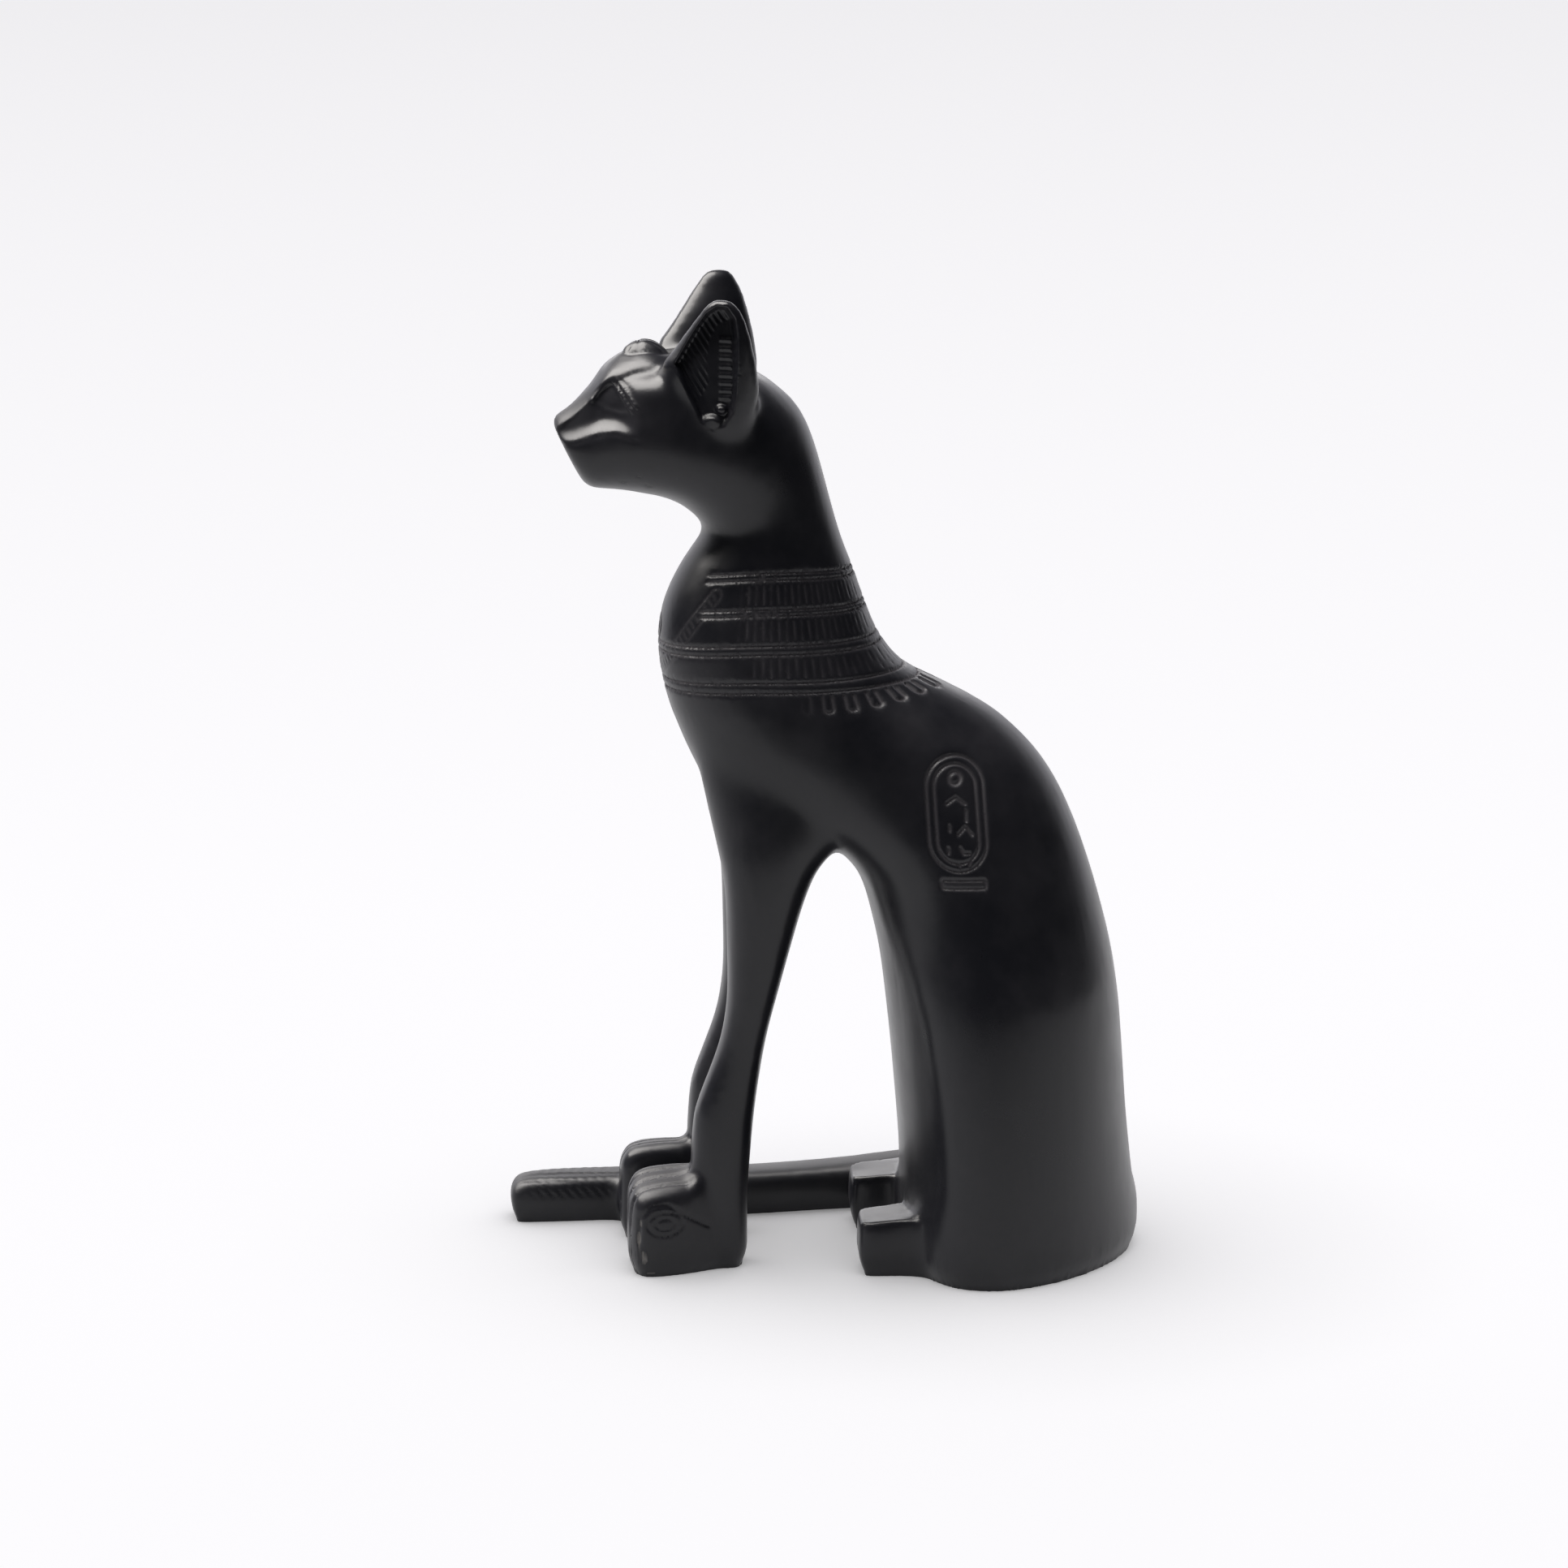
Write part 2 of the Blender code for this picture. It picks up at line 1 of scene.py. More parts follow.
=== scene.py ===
# Seated cat figure of black cast stone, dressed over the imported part.
# The stations below are in millimetres: X = 0 is the cat's middle plane, +X its left side,
# -Y the way it faces and Z up from its underside. The finished mesh is in metres.
import bpy
import bmesh
import numpy as np
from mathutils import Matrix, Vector


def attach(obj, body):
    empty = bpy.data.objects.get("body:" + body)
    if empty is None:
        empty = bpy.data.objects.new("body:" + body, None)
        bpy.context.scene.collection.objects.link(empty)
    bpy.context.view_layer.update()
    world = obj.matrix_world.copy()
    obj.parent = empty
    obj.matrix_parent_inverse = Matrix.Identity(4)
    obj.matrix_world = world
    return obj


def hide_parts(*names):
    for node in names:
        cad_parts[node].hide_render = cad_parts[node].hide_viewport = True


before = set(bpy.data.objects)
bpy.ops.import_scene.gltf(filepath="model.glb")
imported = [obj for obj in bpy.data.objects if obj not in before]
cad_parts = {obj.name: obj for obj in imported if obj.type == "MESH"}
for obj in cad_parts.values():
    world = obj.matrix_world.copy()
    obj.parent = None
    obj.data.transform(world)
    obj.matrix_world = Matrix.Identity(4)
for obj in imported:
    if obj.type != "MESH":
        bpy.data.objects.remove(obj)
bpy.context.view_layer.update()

view = {
    "azimuth": 87.5,  # degrees round from the cat's face
    "elevation": 13.2,
    "distance": 1.13259,  # metres from the point looked at
    "target": (0.0016326, -0.0063584, 0.07316),
    "lens": 171.26,  # mm, on a sensor 36 mm wide
}
light = {
    "tent": (0.95, 0.94, 1.0),  # bright cloth behind and overhead
    "tentStrength": 1.0,
    "dim": 0.03,  # the room on the camera's side
    "behind": (-0.42, -0.82),  # X of a direction where the cloth begins
    "behindTop": (0.55, 0.32),  # Z of a direction where that cloth ends
    "above": (0.80, 0.98),  # and where the cloth overhead begins
    # lamps that light the figure alone: way to it, metres away, width, height, watts, colour
    "lamps": (((-0.19, -0.44, 0.88), 4.0, 3.8, 5.6, 640.0, (1.0, 0.965, 0.93)),
              ((-0.97, -0.04, 0.24), 4.0, 3.0, 1.2, 13.0, (1.0, 0.98, 0.96))),
    "floor": (0.70, 0.695, 0.705),
    "floorTint": (1.0, 0.992, 1.0),
    "floorGlow": (0.64, 0.79),  # far behind the figure and close to it
    "floorGlowAt": (-1.7, -0.2),  # at these X, in metres
    "floorBox": ((-1.9, 0.29), (-0.40, 0.45)),  # metres in X and in Y
    "floorShade": 0.06,  # reach of the soft shade at its foot
    "floorShadeLeast": 0.15,  # share of the glow that stays there
}


# The camera that was fitted to the photo.
def placeCamera():
    a, e = np.radians(view["azimuth"]), np.radians(view["elevation"])
    back = Vector((np.sin(a) * np.cos(e), -np.cos(a) * np.cos(e), np.sin(e)))
    data = bpy.data.cameras.new("photoCamera")
    data.lens, data.sensor_width = view["lens"], 36
    data.clip_start, data.clip_end = 0.01, 40
    camera = bpy.data.objects.new("photoCamera", data)
    camera.location = Vector(view["target"]) + back * view["distance"]
    camera.rotation_euler = back.to_track_quat("Z", "Y").to_euler()
    bpy.context.scene.collection.objects.link(camera)
    bpy.context.scene.camera = camera


# A shader node with its settings, the plain values of its inputs, and the outputs that feed
# others of them.
def addNode(tree, kind, values=(), sources=(), **settings):
    node = tree.nodes.new("ShaderNode" + kind)
    for name, value in settings.items():
        setattr(node, name, value)
    for socket, value in dict(values).items():
        node.inputs[socket].default_value = value
    for socket, source in dict(sources).items():
        tree.links.new(source, node.inputs[socket])
    return node


# White cloth behind and overhead, and a dim room on the camera's side.
def lightTheScene():
    world = bpy.data.worlds.new("tent")
    bpy.context.scene.world = world
    world.use_nodes = True
    tree = world.node_tree
    tree.nodes.clear()
    where = addNode(tree, "TexCoord")
    way = addNode(tree, "SeparateXYZ", sources={0: where.outputs["Generated"]})

    def ramp(axis, ends):
        return addNode(tree, "MapRange", {"From Min": ends[0], "From Max": ends[1]},
                       {"Value": way.outputs[axis]},
                       interpolation_type="SMOOTHSTEP").outputs["Result"]

    def joined(kind, one, other):
        return addNode(tree, "Math", sources={0: one, 1: other}, operation=kind).outputs[0]

    path = addNode(tree, "LightPath")  # the camera itself sees only white cloth
    behind = joined("MULTIPLY", ramp("X", light["behind"]), ramp("Z", light["behindTop"]))
    bright = joined("MAXIMUM", behind, ramp("Z", light["above"]))
    bright = joined("MAXIMUM", bright, path.outputs["Is Camera Ray"])
    strength = addNode(tree, "MapRange",
                       {"To Min": light["dim"], "To Max": light["tentStrength"]},
                       {"Value": bright})
    glow = addNode(tree, "Background", {"Color": (*light["tent"], 1)},
                   {"Strength": strength.outputs["Result"]})
    addNode(tree, "OutputWorld", sources={"Surface": glow.outputs[0]})
    bpy.context.scene.view_settings.view_transform = "Standard"


# Wide soft lamps over the figure and behind it, which light nothing else.
def hangLamps(figure):
    lit = bpy.data.collections.new("litByLamps")
    lit.objects.link(figure)
    for way, away, width, height, watts, colour in light["lamps"]:
        lamp = bpy.data.lights.new("softLamp", "AREA")
        lamp.shape, lamp.size, lamp.size_y, lamp.energy = "ELLIPSE", width, height, watts
        lamp.color = colour
        holder = bpy.data.objects.new("softLamp", lamp)
        way = Vector(way).normalized()
        holder.location = way * away
        holder.rotation_euler = way.to_track_quat("Z", "Y").to_euler()
        holder.visible_camera = False
        bpy.context.scene.collection.objects.link(holder)
        holder.light_linking.receiver_collection = lit


# A pale table. It glows a little less far behind the figure, and least in the corner
# where the figure meets it.
def layFloor():
    (far, near), (left, right) = light["floorBox"]
    mesh = bpy.data.meshes.new("floor")
    mesh.from_pydata([(far, left, 0), (near, left, 0), (near, right, 0), (far, right, 0)],
                     [], [(0, 1, 2, 3)])
    cloth = bpy.data.materials.new("paleFloor")
    cloth.use_nodes = True
    tree = cloth.node_tree
    shader = tree.nodes["Principled BSDF"]
    shader.inputs["Base Color"].default_value = (*light["floor"], 1)
    shader.inputs["Roughness"].default_value = 0.75
    shader.inputs["Specular IOR Level"].default_value = 0.2
    shader.inputs["Emission Color"].default_value = (*light["floorTint"], 1)
    where = addNode(tree, "TexCoord")
    split = addNode(tree, "SeparateXYZ", sources={0: where.outputs["Object"]})
    (begin, end), (low, high) = light["floorGlowAt"], light["floorGlow"]
    glow = addNode(tree, "MapRange",
                   {"From Min": begin, "From Max": end, "To Min": low, "To Max": high},
                   {"Value": split.outputs["X"]})
    shade = addNode(tree, "AmbientOcclusion", {"Distance": light["floorShade"]})
    dimmed = addNode(tree, "MapRange", {"To Min": light["floorShadeLeast"]},
                     {"Value": shade.outputs["AO"]})
    strength = addNode(tree, "Math", operation="MULTIPLY",
                       sources={0: glow.outputs["Result"], 1: dimmed.outputs["Result"]})
    tree.links.new(strength.outputs[0], shader.inputs["Emission Strength"])
    mesh.materials.append(cloth)
    floor = bpy.data.objects.new("floor", mesh)
    bpy.context.scene.collection.objects.link(floor)


placeCamera()
lightTheScene()
layFloor()
print("camera, light and floor placed")

cat = {
    "middle": (-1.6326, 6.3584),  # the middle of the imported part's box in X and Y
    "cell": 0.70,  # size of the cells that fuse the limbs into one skin
    "keep": 0.34,  # share of the fused skin's triangles that stays
    "evenSteps": 8,  # rounds that smooth the cells' steps away
    "evenShares": (0.5, 0.51),  # how far each goes in, and out again
    "filletSteps": 38,  # rounds that fill the inner corners
    "filletShares": (0.55, 0.15),  # how fast, and how much of that at the feet
    "sharpHollow": 0.0165,  # inner corners rounder than this are left as they are
    "shoulderSteps": 58,  # rounds that blend the front leg into the shoulder
    "shoulder": ((13.0, -7.0, 74.0), (7.0, 8.0, 9.0)),  # middle and reach of that place
    "skinSteps": 7,  # and those that even out the whole skin too
    "feetTop": (12.0, 22.0),  # Z where the feet end and the plain body begins
    "belowFloor": -4.0,  # where the limbs end under the floor, before the cut
    "ringPoints": 72,
    "rowsPerSpan": 8,
    "earMiddle": -10.3,  # Y about which the right ear is made longer
    "rightEarLong": 1.06,
    "rightEarBack": 0.29,
    "rightPawAhead": 0.8,
    # belly Y, Z, back Y, Z, half width, widest place, roundness of belly half and back half
    "trunk": (
        (17.8, -4.0, 54.3, -4.0, 25.8, 0.37, 2.5, 1.60),
        (17.8, 5.0, 54.3, 5.0, 26.2, 0.37, 2.5, 1.60),
        (17.8, 15.0, 53.2, 15.0, 26.2, 0.38, 2.3, 1.70),
        (17.1, 24.0, 52.3, 24.0, 26.0, 0.39, 2.2, 1.80),
        (16.3, 33.0, 51.8, 33.0, 25.6, 0.40, 2.2, 1.90),
        (15.3, 42.0, 50.9, 42.5, 25.0, 0.42, 2.2, 2.00),
        (14.7, 46.5, 50.2, 46.8, 24.2, 0.43, 2.2, 2.00),
        (13.8, 51.0, 49.3, 51.0, 22.9, 0.44, 2.2, 2.00),
        (11.0, 60.1, 46.8, 60.0, 20.8, 0.46, 2.2, 2.00),
        (5.0, 66.0, 43.2, 70.0, 19.2, 0.48, 2.3, 2.00),
        (-1.5, 68.5, 38.7, 77.9, 18.0, 0.50, 2.4, 2.00),
        (-7.0, 71.2, 32.2, 84.3, 17.3, 0.50, 2.4, 2.00),
        (-12.2, 75.0, 24.8, 88.5, 16.9, 0.50, 2.4, 2.00),
        (-15.6, 81.5, 18.0, 92.1, 16.3, 0.50, 2.3, 2.00),
        (-18.2, 89.0, 14.2, 96.9, 15.3, 0.50, 2.2, 2.00),
        (-19.1, 96.5, 12.1, 102.0, 14.2, 0.50, 2.2, 2.00),
        (-17.8, 103.0, 10.3, 107.1, 12.9, 0.50, 2.1, 2.00),
        (-14.5, 109.2, 8.6, 111.5, 11.6, 0.50, 2.1, 2.00),
        (-11.9, 112.8, 7.3, 116.0, 11.1, 0.50, 2.1, 2.00),
        (-13.1, 114.7, 6.0, 121.0, 11.5, 0.50, 2.1, 2.00),
        (-15.5, 116.8, 4.3, 127.0, 12.5, 0.50, 2.1, 2.00),
        (-18.5, 118.1, 1.7, 132.0, 13.2, 0.50, 2.1, 2.10),
        (-21.2, 118.6, -3.5, 136.2, 13.3, 0.52, 2.1, 2.30),
        (-23.6, 119.0, -9.5, 138.4, 12.8, 0.55, 2.1, 2.60),
        (-25.8, 119.2, -16.0, 139.2, 11.6, 0.56, 2.1, 2.90),
        (-27.5, 119.3, -21.8, 139.0, 9.9, 0.54, 2.2, 3.00),
        (-28.7, 119.4, -25.9, 138.2, 8.3, 0.50, 2.4, 2.80),
        (-29.6, 119.6, -29.1, 135.0, 7.0, 0.46, 2.2, 2.10),
        (-30.35, 120.4, -32.0, 131.9, 6.1, 0.48, 2.1, 1.90),
        (-31.05, 121.6, -34.6, 130.3, 4.9, 0.52, 2.0, 1.80),
        (-31.5, 122.6, -35.0, 129.8, 3.3, 0.54, 2.0, 1.90),
        (-31.7, 123.3, -34.9, 129.2, 1.6, 0.54, 2.0, 2.00),
    ),
    # from the floor up: Z, front Y, back Y, inner X, outer X, roundness
    "frontLeg": (
        (-4.0, -13.0, -6.0, 5.4, 12.0, 2.6),
        (6.0, -13.4, -6.0, 5.2, 12.6, 2.6),
        (13.0, -14.4, -5.9, 4.8, 13.2, 2.6),
        (20.0, -14.6, -5.3, 4.5, 13.5, 2.5),
        (25.0, -14.0, -4.8, 4.5, 13.5, 2.5),
        (30.0, -12.1, -4.1, 4.4, 13.5, 2.5),
        (36.0, -10.0, -3.1, 4.2, 13.7, 2.5),
        (43.0, -9.0, -1.3, 3.8, 14.2, 2.5),
        (50.0, -9.1, 0.6, 3.0, 14.8, 2.5),
        (57.0, -9.2, 2.6, 2.0, 15.4, 2.5),
        (62.0, -9.7, 4.7, 0.8, 15.8, 2.5),
        (67.0, -10.9, 8.5, -0.5, 15.8, 2.4),
        (74.0, -12.5, 11.0, -1.0, 15.0, 2.2),
        (81.0, -14.0, 9.0, -1.0, 12.6, 2.0),
    ),
    # from the toes back: Y, inner X, outer X, top Z, roundness
    "frontPaw": (
        (-24.3, 5.0, 13.0, 11.6, 4.0),
        (-23.1, 4.0, 15.4, 13.6, 5.4),
        (-21.2, 3.8, 16.5, 14.4, 6.0),
        (-18.0, 3.8, 15.9, 14.8, 6.0),
        (-14.5, 3.9, 14.6, 14.9, 5.4),
        (-10.5, 4.3, 12.6, 14.6, 3.4),
        (-6.0, 5.2, 9.8, 13.0, 2.6),
    ),
    "hindFoot": (
        (10.7, 8.0, 16.6, 7.9, 4.5),
        (12.2, 7.6, 17.4, 8.6, 5.0),
        (15.0, 7.4, 17.4, 9.2, 5.0),
        (18.0, 7.4, 17.6, 9.8, 5.0),
        (22.0, 8.0, 19.0, 10.4, 4.0),
        (27.0, 8.0, 21.0, 10.8, 3.0),
    ),
    # from the root behind the rump to the tip beyond the toes: X, Y, half width, height,
    # roundness
    "tail": (
        (8.0, 46.0, 5.0, 13.0, 2.2),
        (-1.0, 49.4, 5.2, 14.0, 2.4),
        (-10.0, 47.6, 5.2, 13.2, 2.6),
        (-18.5, 41.6, 5.0, 11.4, 2.8),
        (-23.8, 32.0, 4.7, 9.6, 3.6),
        (-24.9, 21.0, 4.5, 7.8, 4.4),
        (-23.4, 9.0, 4.4, 6.8, 5.0),
        (-20.9, -6.0, 4.3, 6.6, 5.0),
        (-18.9, -24.0, 4.2, 7.1, 5.0),
        (-17.9, -36.0, 4.1, 7.1, 5.0),
        (-17.8, -40.4, 4.0, 6.5, 5.0),
        (-17.8, -41.9, 3.4, 5.0, 4.0),
    ),
    # left ear from inside the skull up: Z, front Y, back Y, inner X, outer X, and how far
    # the rear rim stands outside the front rim
    "ear": (
        (126.0, -14.0, -6.0, 4.6, 12.2, 0.5),
        (131.0, -15.6, -4.9, 5.2, 14.0, 1.0),
        (135.0, -17.2, -4.1, 6.0, 14.5, 1.6),
        (139.0, -18.6, -4.3, 7.0, 14.8, 2.0),
        (142.0, -16.8, -4.9, 8.4, 15.0, 2.0),
        (145.0, -14.9, -5.6, 10.0, 15.2, 1.6),
        (147.2, -13.5, -6.3, 11.4, 15.4, 1.2),
        (149.0, -12.3, -7.3, 12.4, 15.5, 0.8),
        (150.1, -11.2, -8.3, 13.1, 15.3, 0.4),
    ),
}


# Rows between the stations: the cubic through both stations of a span, whose slopes are half the
# difference of the stations on either side.
def smoothRows(rows):
    values = np.array(rows, float)
    at = np.linspace(0, len(values) - 1, cat["rowsPerSpan"] * (len(values) - 1) + 1)
    slopes = np.gradient(values, axis=0)
    low = np.minimum(at.astype(int), len(values) - 2)
    t = (at - low)[:, None]
    return (values[low] * (2 * t**3 - 3 * t**2 + 1) + slopes[low] * (t**3 - 2 * t**2 + t)
            + values[low + 1] * (3 * t**2 - 2 * t**3) + slopes[low + 1] * (t**3 - t**2))


# Sign and size of cosine and sine, each to the power 2 / roundness.
def superellipse(roundness):
    angle = np.linspace(0, 2 * np.pi, cat["ringPoints"], endpoint=False)
    power = 2 / np.asarray(roundness, float)[:, None]
    return (np.sign(np.cos(angle)) * np.abs(np.cos(angle)) ** power,
            np.sign(np.sin(angle)) * np.abs(np.sin(angle)) ** power)


# Cuts that fan round the arch and the throat: centre = belly + run times the way to the back,
# and side = half width times the superellipse.
def trunkRings():
    rows = smoothRows(cat["trunk"])
    belly, back = rows[:, 0:2], rows[:, 2:4]
    half, widest = rows[:, 4, None], rows[:, 5, None]
    frontSide, frontRun = superellipse(rows[:, 6])
    backSide, backRun = superellipse(rows[:, 7])
    behind = frontRun > 0
    run = widest + np.where(behind, backRun * (1 - widest), frontRun * widest)
    centre = belly[:, None] + run[..., None] * (back - belly)[:, None]
    return np.dstack([half * np.where(behind, backSide, frontSide), centre])


# Level cuts of an upright limb: superellipses between its four side lines.
def columnRings(rows, roundness, lean):
    z, front, back, inner, outer = (rows[:, i, None] for i in range(5))
    across, along = superellipse(roundness)
    x = (inner + outer) / 2 + (outer - inner) / 2 * across + lean[:, None] * along
    return np.dstack([x, (front + back) / 2 + (back - front) / 2 * along, z + 0 * x])


# Upright cuts across a foot, carried on under the floor.
def footRings(rows):
    y, inner, outer, top = (rows[:, i, None] for i in range(4))
    across, along = superellipse(rows[:, 4])
    x = (inner + outer) / 2 + (outer - inner) / 2 * across
    low = cat["belowFloor"]
    return np.dstack([x, y + 0 * x, (top + low) / 2 + (top - low) / 2 * along])


# Upright cuts across the tail, square to its path over the floor.
def tailRings():
    rows = smoothRows(cat["tail"])
    path = np.gradient(rows[:, :2], axis=0)
    path /= np.linalg.norm(path, axis=1, keepdims=True)
    across, along = superellipse(rows[:, 4])
    x = rows[:, 0, None] + path[:, 1, None] * rows[:, 2, None] * across
    y = rows[:, 1, None] - path[:, 0, None] * rows[:, 2, None] * across
    top, low = rows[:, 3, None], cat["belowFloor"]
    return np.dstack([x, y, (top + low) / 2 + (top - low) / 2 * along])


# Triangles between rings row by row, with a fan to a middle point at each end.
def loftFaces(rows, count):
    i, j = np.meshgrid(np.arange(rows - 1), np.arange(count), indexing="ij")
    a, b = i * count + j, i * count + (j + 1) % count
    c, d = b + count, a + count
    skin = np.concatenate([np.stack([a, b, c], -1).reshape(-1, 3),
                           np.stack([a, c, d], -1).reshape(-1, 3)])
    ring, following = np.arange(count), (np.arange(count) + 1) % count
    first, last = rows * count, rows * count + 1
    far = (rows - 1) * count
    ends = [np.stack([following, ring, np.full(count, first)], -1),
            np.stack([far + ring, far + following, np.full(count, last)], -1)]
    return np.concatenate([skin] + ends)


# All limbs as closed lofts in one pair of arrays, still overlapping.
def limbSkins():
    leg = smoothRows(cat["frontLeg"])
    leg = columnRings(leg, leg[:, 5], 0 * leg[:, 0])
    ear = smoothRows(cat["ear"])
    ear = columnRings(ear, np.full(len(ear), 2.2), ear[:, 5])
    paw, foot = footRings(smoothRows(cat["frontPaw"])), footRings(smoothRows(cat["hindFoot"]))
    mirror = np.array([-1.0, 1.0, 1.0])
    rightEar = ear * mirror
    rightEar[..., 1] = (cat["earMiddle"] + cat["rightEarBack"]
                        + cat["rightEarLong"] * (ear[..., 1] - cat["earMiddle"]))
    limbs = [trunkRings(), tailRings(), ear, rightEar]
    for limb, ahead in ((leg, 0), (paw, cat["rightPawAhead"]), (foot, 0)):
        limbs += [limb, limb * mirror - (0, ahead, 0)]
    points, faces, start = [], [], 0
    for rings in limbs:
        rows, count = rings.shape[:2]
        points += [rings.reshape(-1, 3), rings[[0, -1]].mean(axis=1)]
        faces.append(loftFaces(rows, count) + start)
        start += rows * count + 2
    return np.concatenate(points), np.concatenate(faces)


# A mesh of triangles.
def meshOf(points, faces, name):
    mesh = bpy.data.meshes.new(name)
    mesh.vertices.add(len(points))
    mesh.vertices.foreach_set("co", points.astype(np.float32).ravel())
    mesh.loops.add(faces.size)
    mesh.loops.foreach_set("vertex_index", faces.astype(np.int32).ravel())
    mesh.polygons.add(len(faces))
    mesh.polygons.foreach_set("loop_start", np.arange(len(faces), dtype=np.int32) * 3)
    mesh.update(calc_edges=True)
    return mesh


# One property of every vertex, edge or face in rows of an array.
def readArray(parts, name, kind, width):
    values = np.empty(len(parts) * width, kind)
    parts.foreach_get(name, values)
    return values.reshape(-1, width)


# What one modifier with these settings makes of a mesh.
def modified(mesh, kind, **settings):
    holder = bpy.data.objects.new("holder", mesh)
    bpy.context.scene.collection.objects.link(holder)
    step = holder.modifiers.new("step", kind)
    for name, value in settings.items():
        setattr(step, name, value)
    graph = bpy.context.evaluated_depsgraph_get()
    result = bpy.data.meshes.new_from_object(holder.evaluated_get(graph), depsgraph=graph)
    bpy.data.objects.remove(holder)
    return result


# The overlapping limbs as one skin of small even cells, in triangles.
def fusedSkin(points, faces):
    mesh = modified(meshOf(points, faces, "limbs"), "REMESH", mode="VOXEL",
                    voxel_size=cat["cell"])
    mesh.calc_loop_triangles()
    points = readArray(mesh.vertices, "co", np.float32, 3).astype(float)
    faces = readArray(mesh.loop_triangles, "vertices", np.int32, 3)
    pairs = readArray(mesh.edges, "vertices", np.int32, 2)
    bpy.data.meshes.remove(mesh)
    return points, faces, pairs


# 0 below low, 1 above high, and 3 t squared - 2 t cubed between.
def rise(value, low, high):
    t = np.clip((value - low) / (high - low), 0, 1)
    return t * t * (3 - 2 * t)


# e to the minus (distance / width) squared.
def bump(distance, width):
    return np.exp(-((distance / width) ** 2))


# Vertex normals: the sum of the cross products of the faces round each vertex.
def normalsOf(points, faces):
    a, b, c = (points[faces[:, i]] for i in range(3))
    across = np.cross(b - a, c - a)
    total = np.stack([np.bincount(faces.ravel(), np.repeat(across[:, k], 3), len(points))
                      for k in range(3)], axis=1)
    return total / np.maximum(np.linalg.norm(total, axis=1, keepdims=True), 1e-9)


# Each edge once, as its two vertices.
def pairsOf(faces):
    ends = np.sort(np.stack([faces, np.roll(faces, -1, axis=1)], 2).reshape(-1, 2), axis=1)
    return np.unique(ends, axis=0)


# For each vertex, the way from it to the mean of its neighbours.
def pullToNeighbours(points, pairs):
    count = len(points)
    share = np.bincount(pairs.ravel(), minlength=count)
    total = np.empty_like(points)
    for axis in range(3):
        total[:, axis] = (np.bincount(pairs[:, 0], points[pairs[:, 1], axis], count)
                          + np.bincount(pairs[:, 1], points[pairs[:, 0], axis], count)) / share
    return total - points


# Cell steps evened out, inner corners filled to fillets, and the shoulders blended.
def softened(points, faces, pairs):
    inwards, outwards = cat["evenShares"]
    for step in range(cat["evenSteps"]):
        points = points + inwards * pullToNeighbours(points, pairs)
        points = points - outwards * pullToNeighbours(points, pairs)
    low = rise(points[:, 2:], *cat["feetTop"])
    fast, atFeet = cat["filletShares"]
    for step in range(cat["filletSteps"]):
        pull, normal = pullToNeighbours(points, pairs), normalsOf(points, faces)
        hollow = np.sum(pull * normal, axis=1, keepdims=True)
        fill = np.maximum(hollow - cat["sharpHollow"], 0) * (atFeet + (1 - atFeet) * low)
        points = points + fast * fill * normal
    middle, reach = cat["shoulder"]
    away = (np.column_stack([np.abs(points[:, 0]), points[:, 1:]]) - middle) / reach
    shoulder = 1 - rise(np.linalg.norm(away, axis=1), 0.5, 1.2)
    for step in range(cat["shoulderSteps"]):
        whole = (0.2 + 0.3 * low[:, 0]) * (step < cat["skinSteps"])
        blend = np.minimum(0.5 * shoulder + whole, 0.5)
        points = points + blend[:, None] * pullToNeighbours(points, pairs)
    return points


# Distance of each seen point from a line of corners, above 0 on its left side.
def fromLine(seen, line):
    corners = np.array(line, float)
    start, run = corners[:-1], np.diff(corners, axis=0)
    best = np.full(len(seen), 1e9)
    left = np.ones(len(seen))
    for begin, way in zip(start, run):
        away = seen - begin
        t = np.clip(away @ way / (way @ way), 0, 1)
        gap = away - t[:, None] * way
        size = np.linalg.norm(gap, axis=1)
        turn = np.where(way[0] * gap[:, 1] - way[1] * gap[:, 0] < 0, -1, 1)
        nearer = size < best
        best, left = np.where(nearer, size, best), np.where(nearer, turn, left)
    return best * left


fineness = {
    "body": 9.0,  # longest edge in mm that stays whole, for each zone
    "head": 0.95,
    "face": 0.52,
    "ear": 0.75,
    "earHair": 0.30,
    "collar": 0.90,
    "collarLine": 0.38,
    "cartouche": 0.38,
    "toes": 0.60,
    "base": 1.3,
    "passes": 4,
}


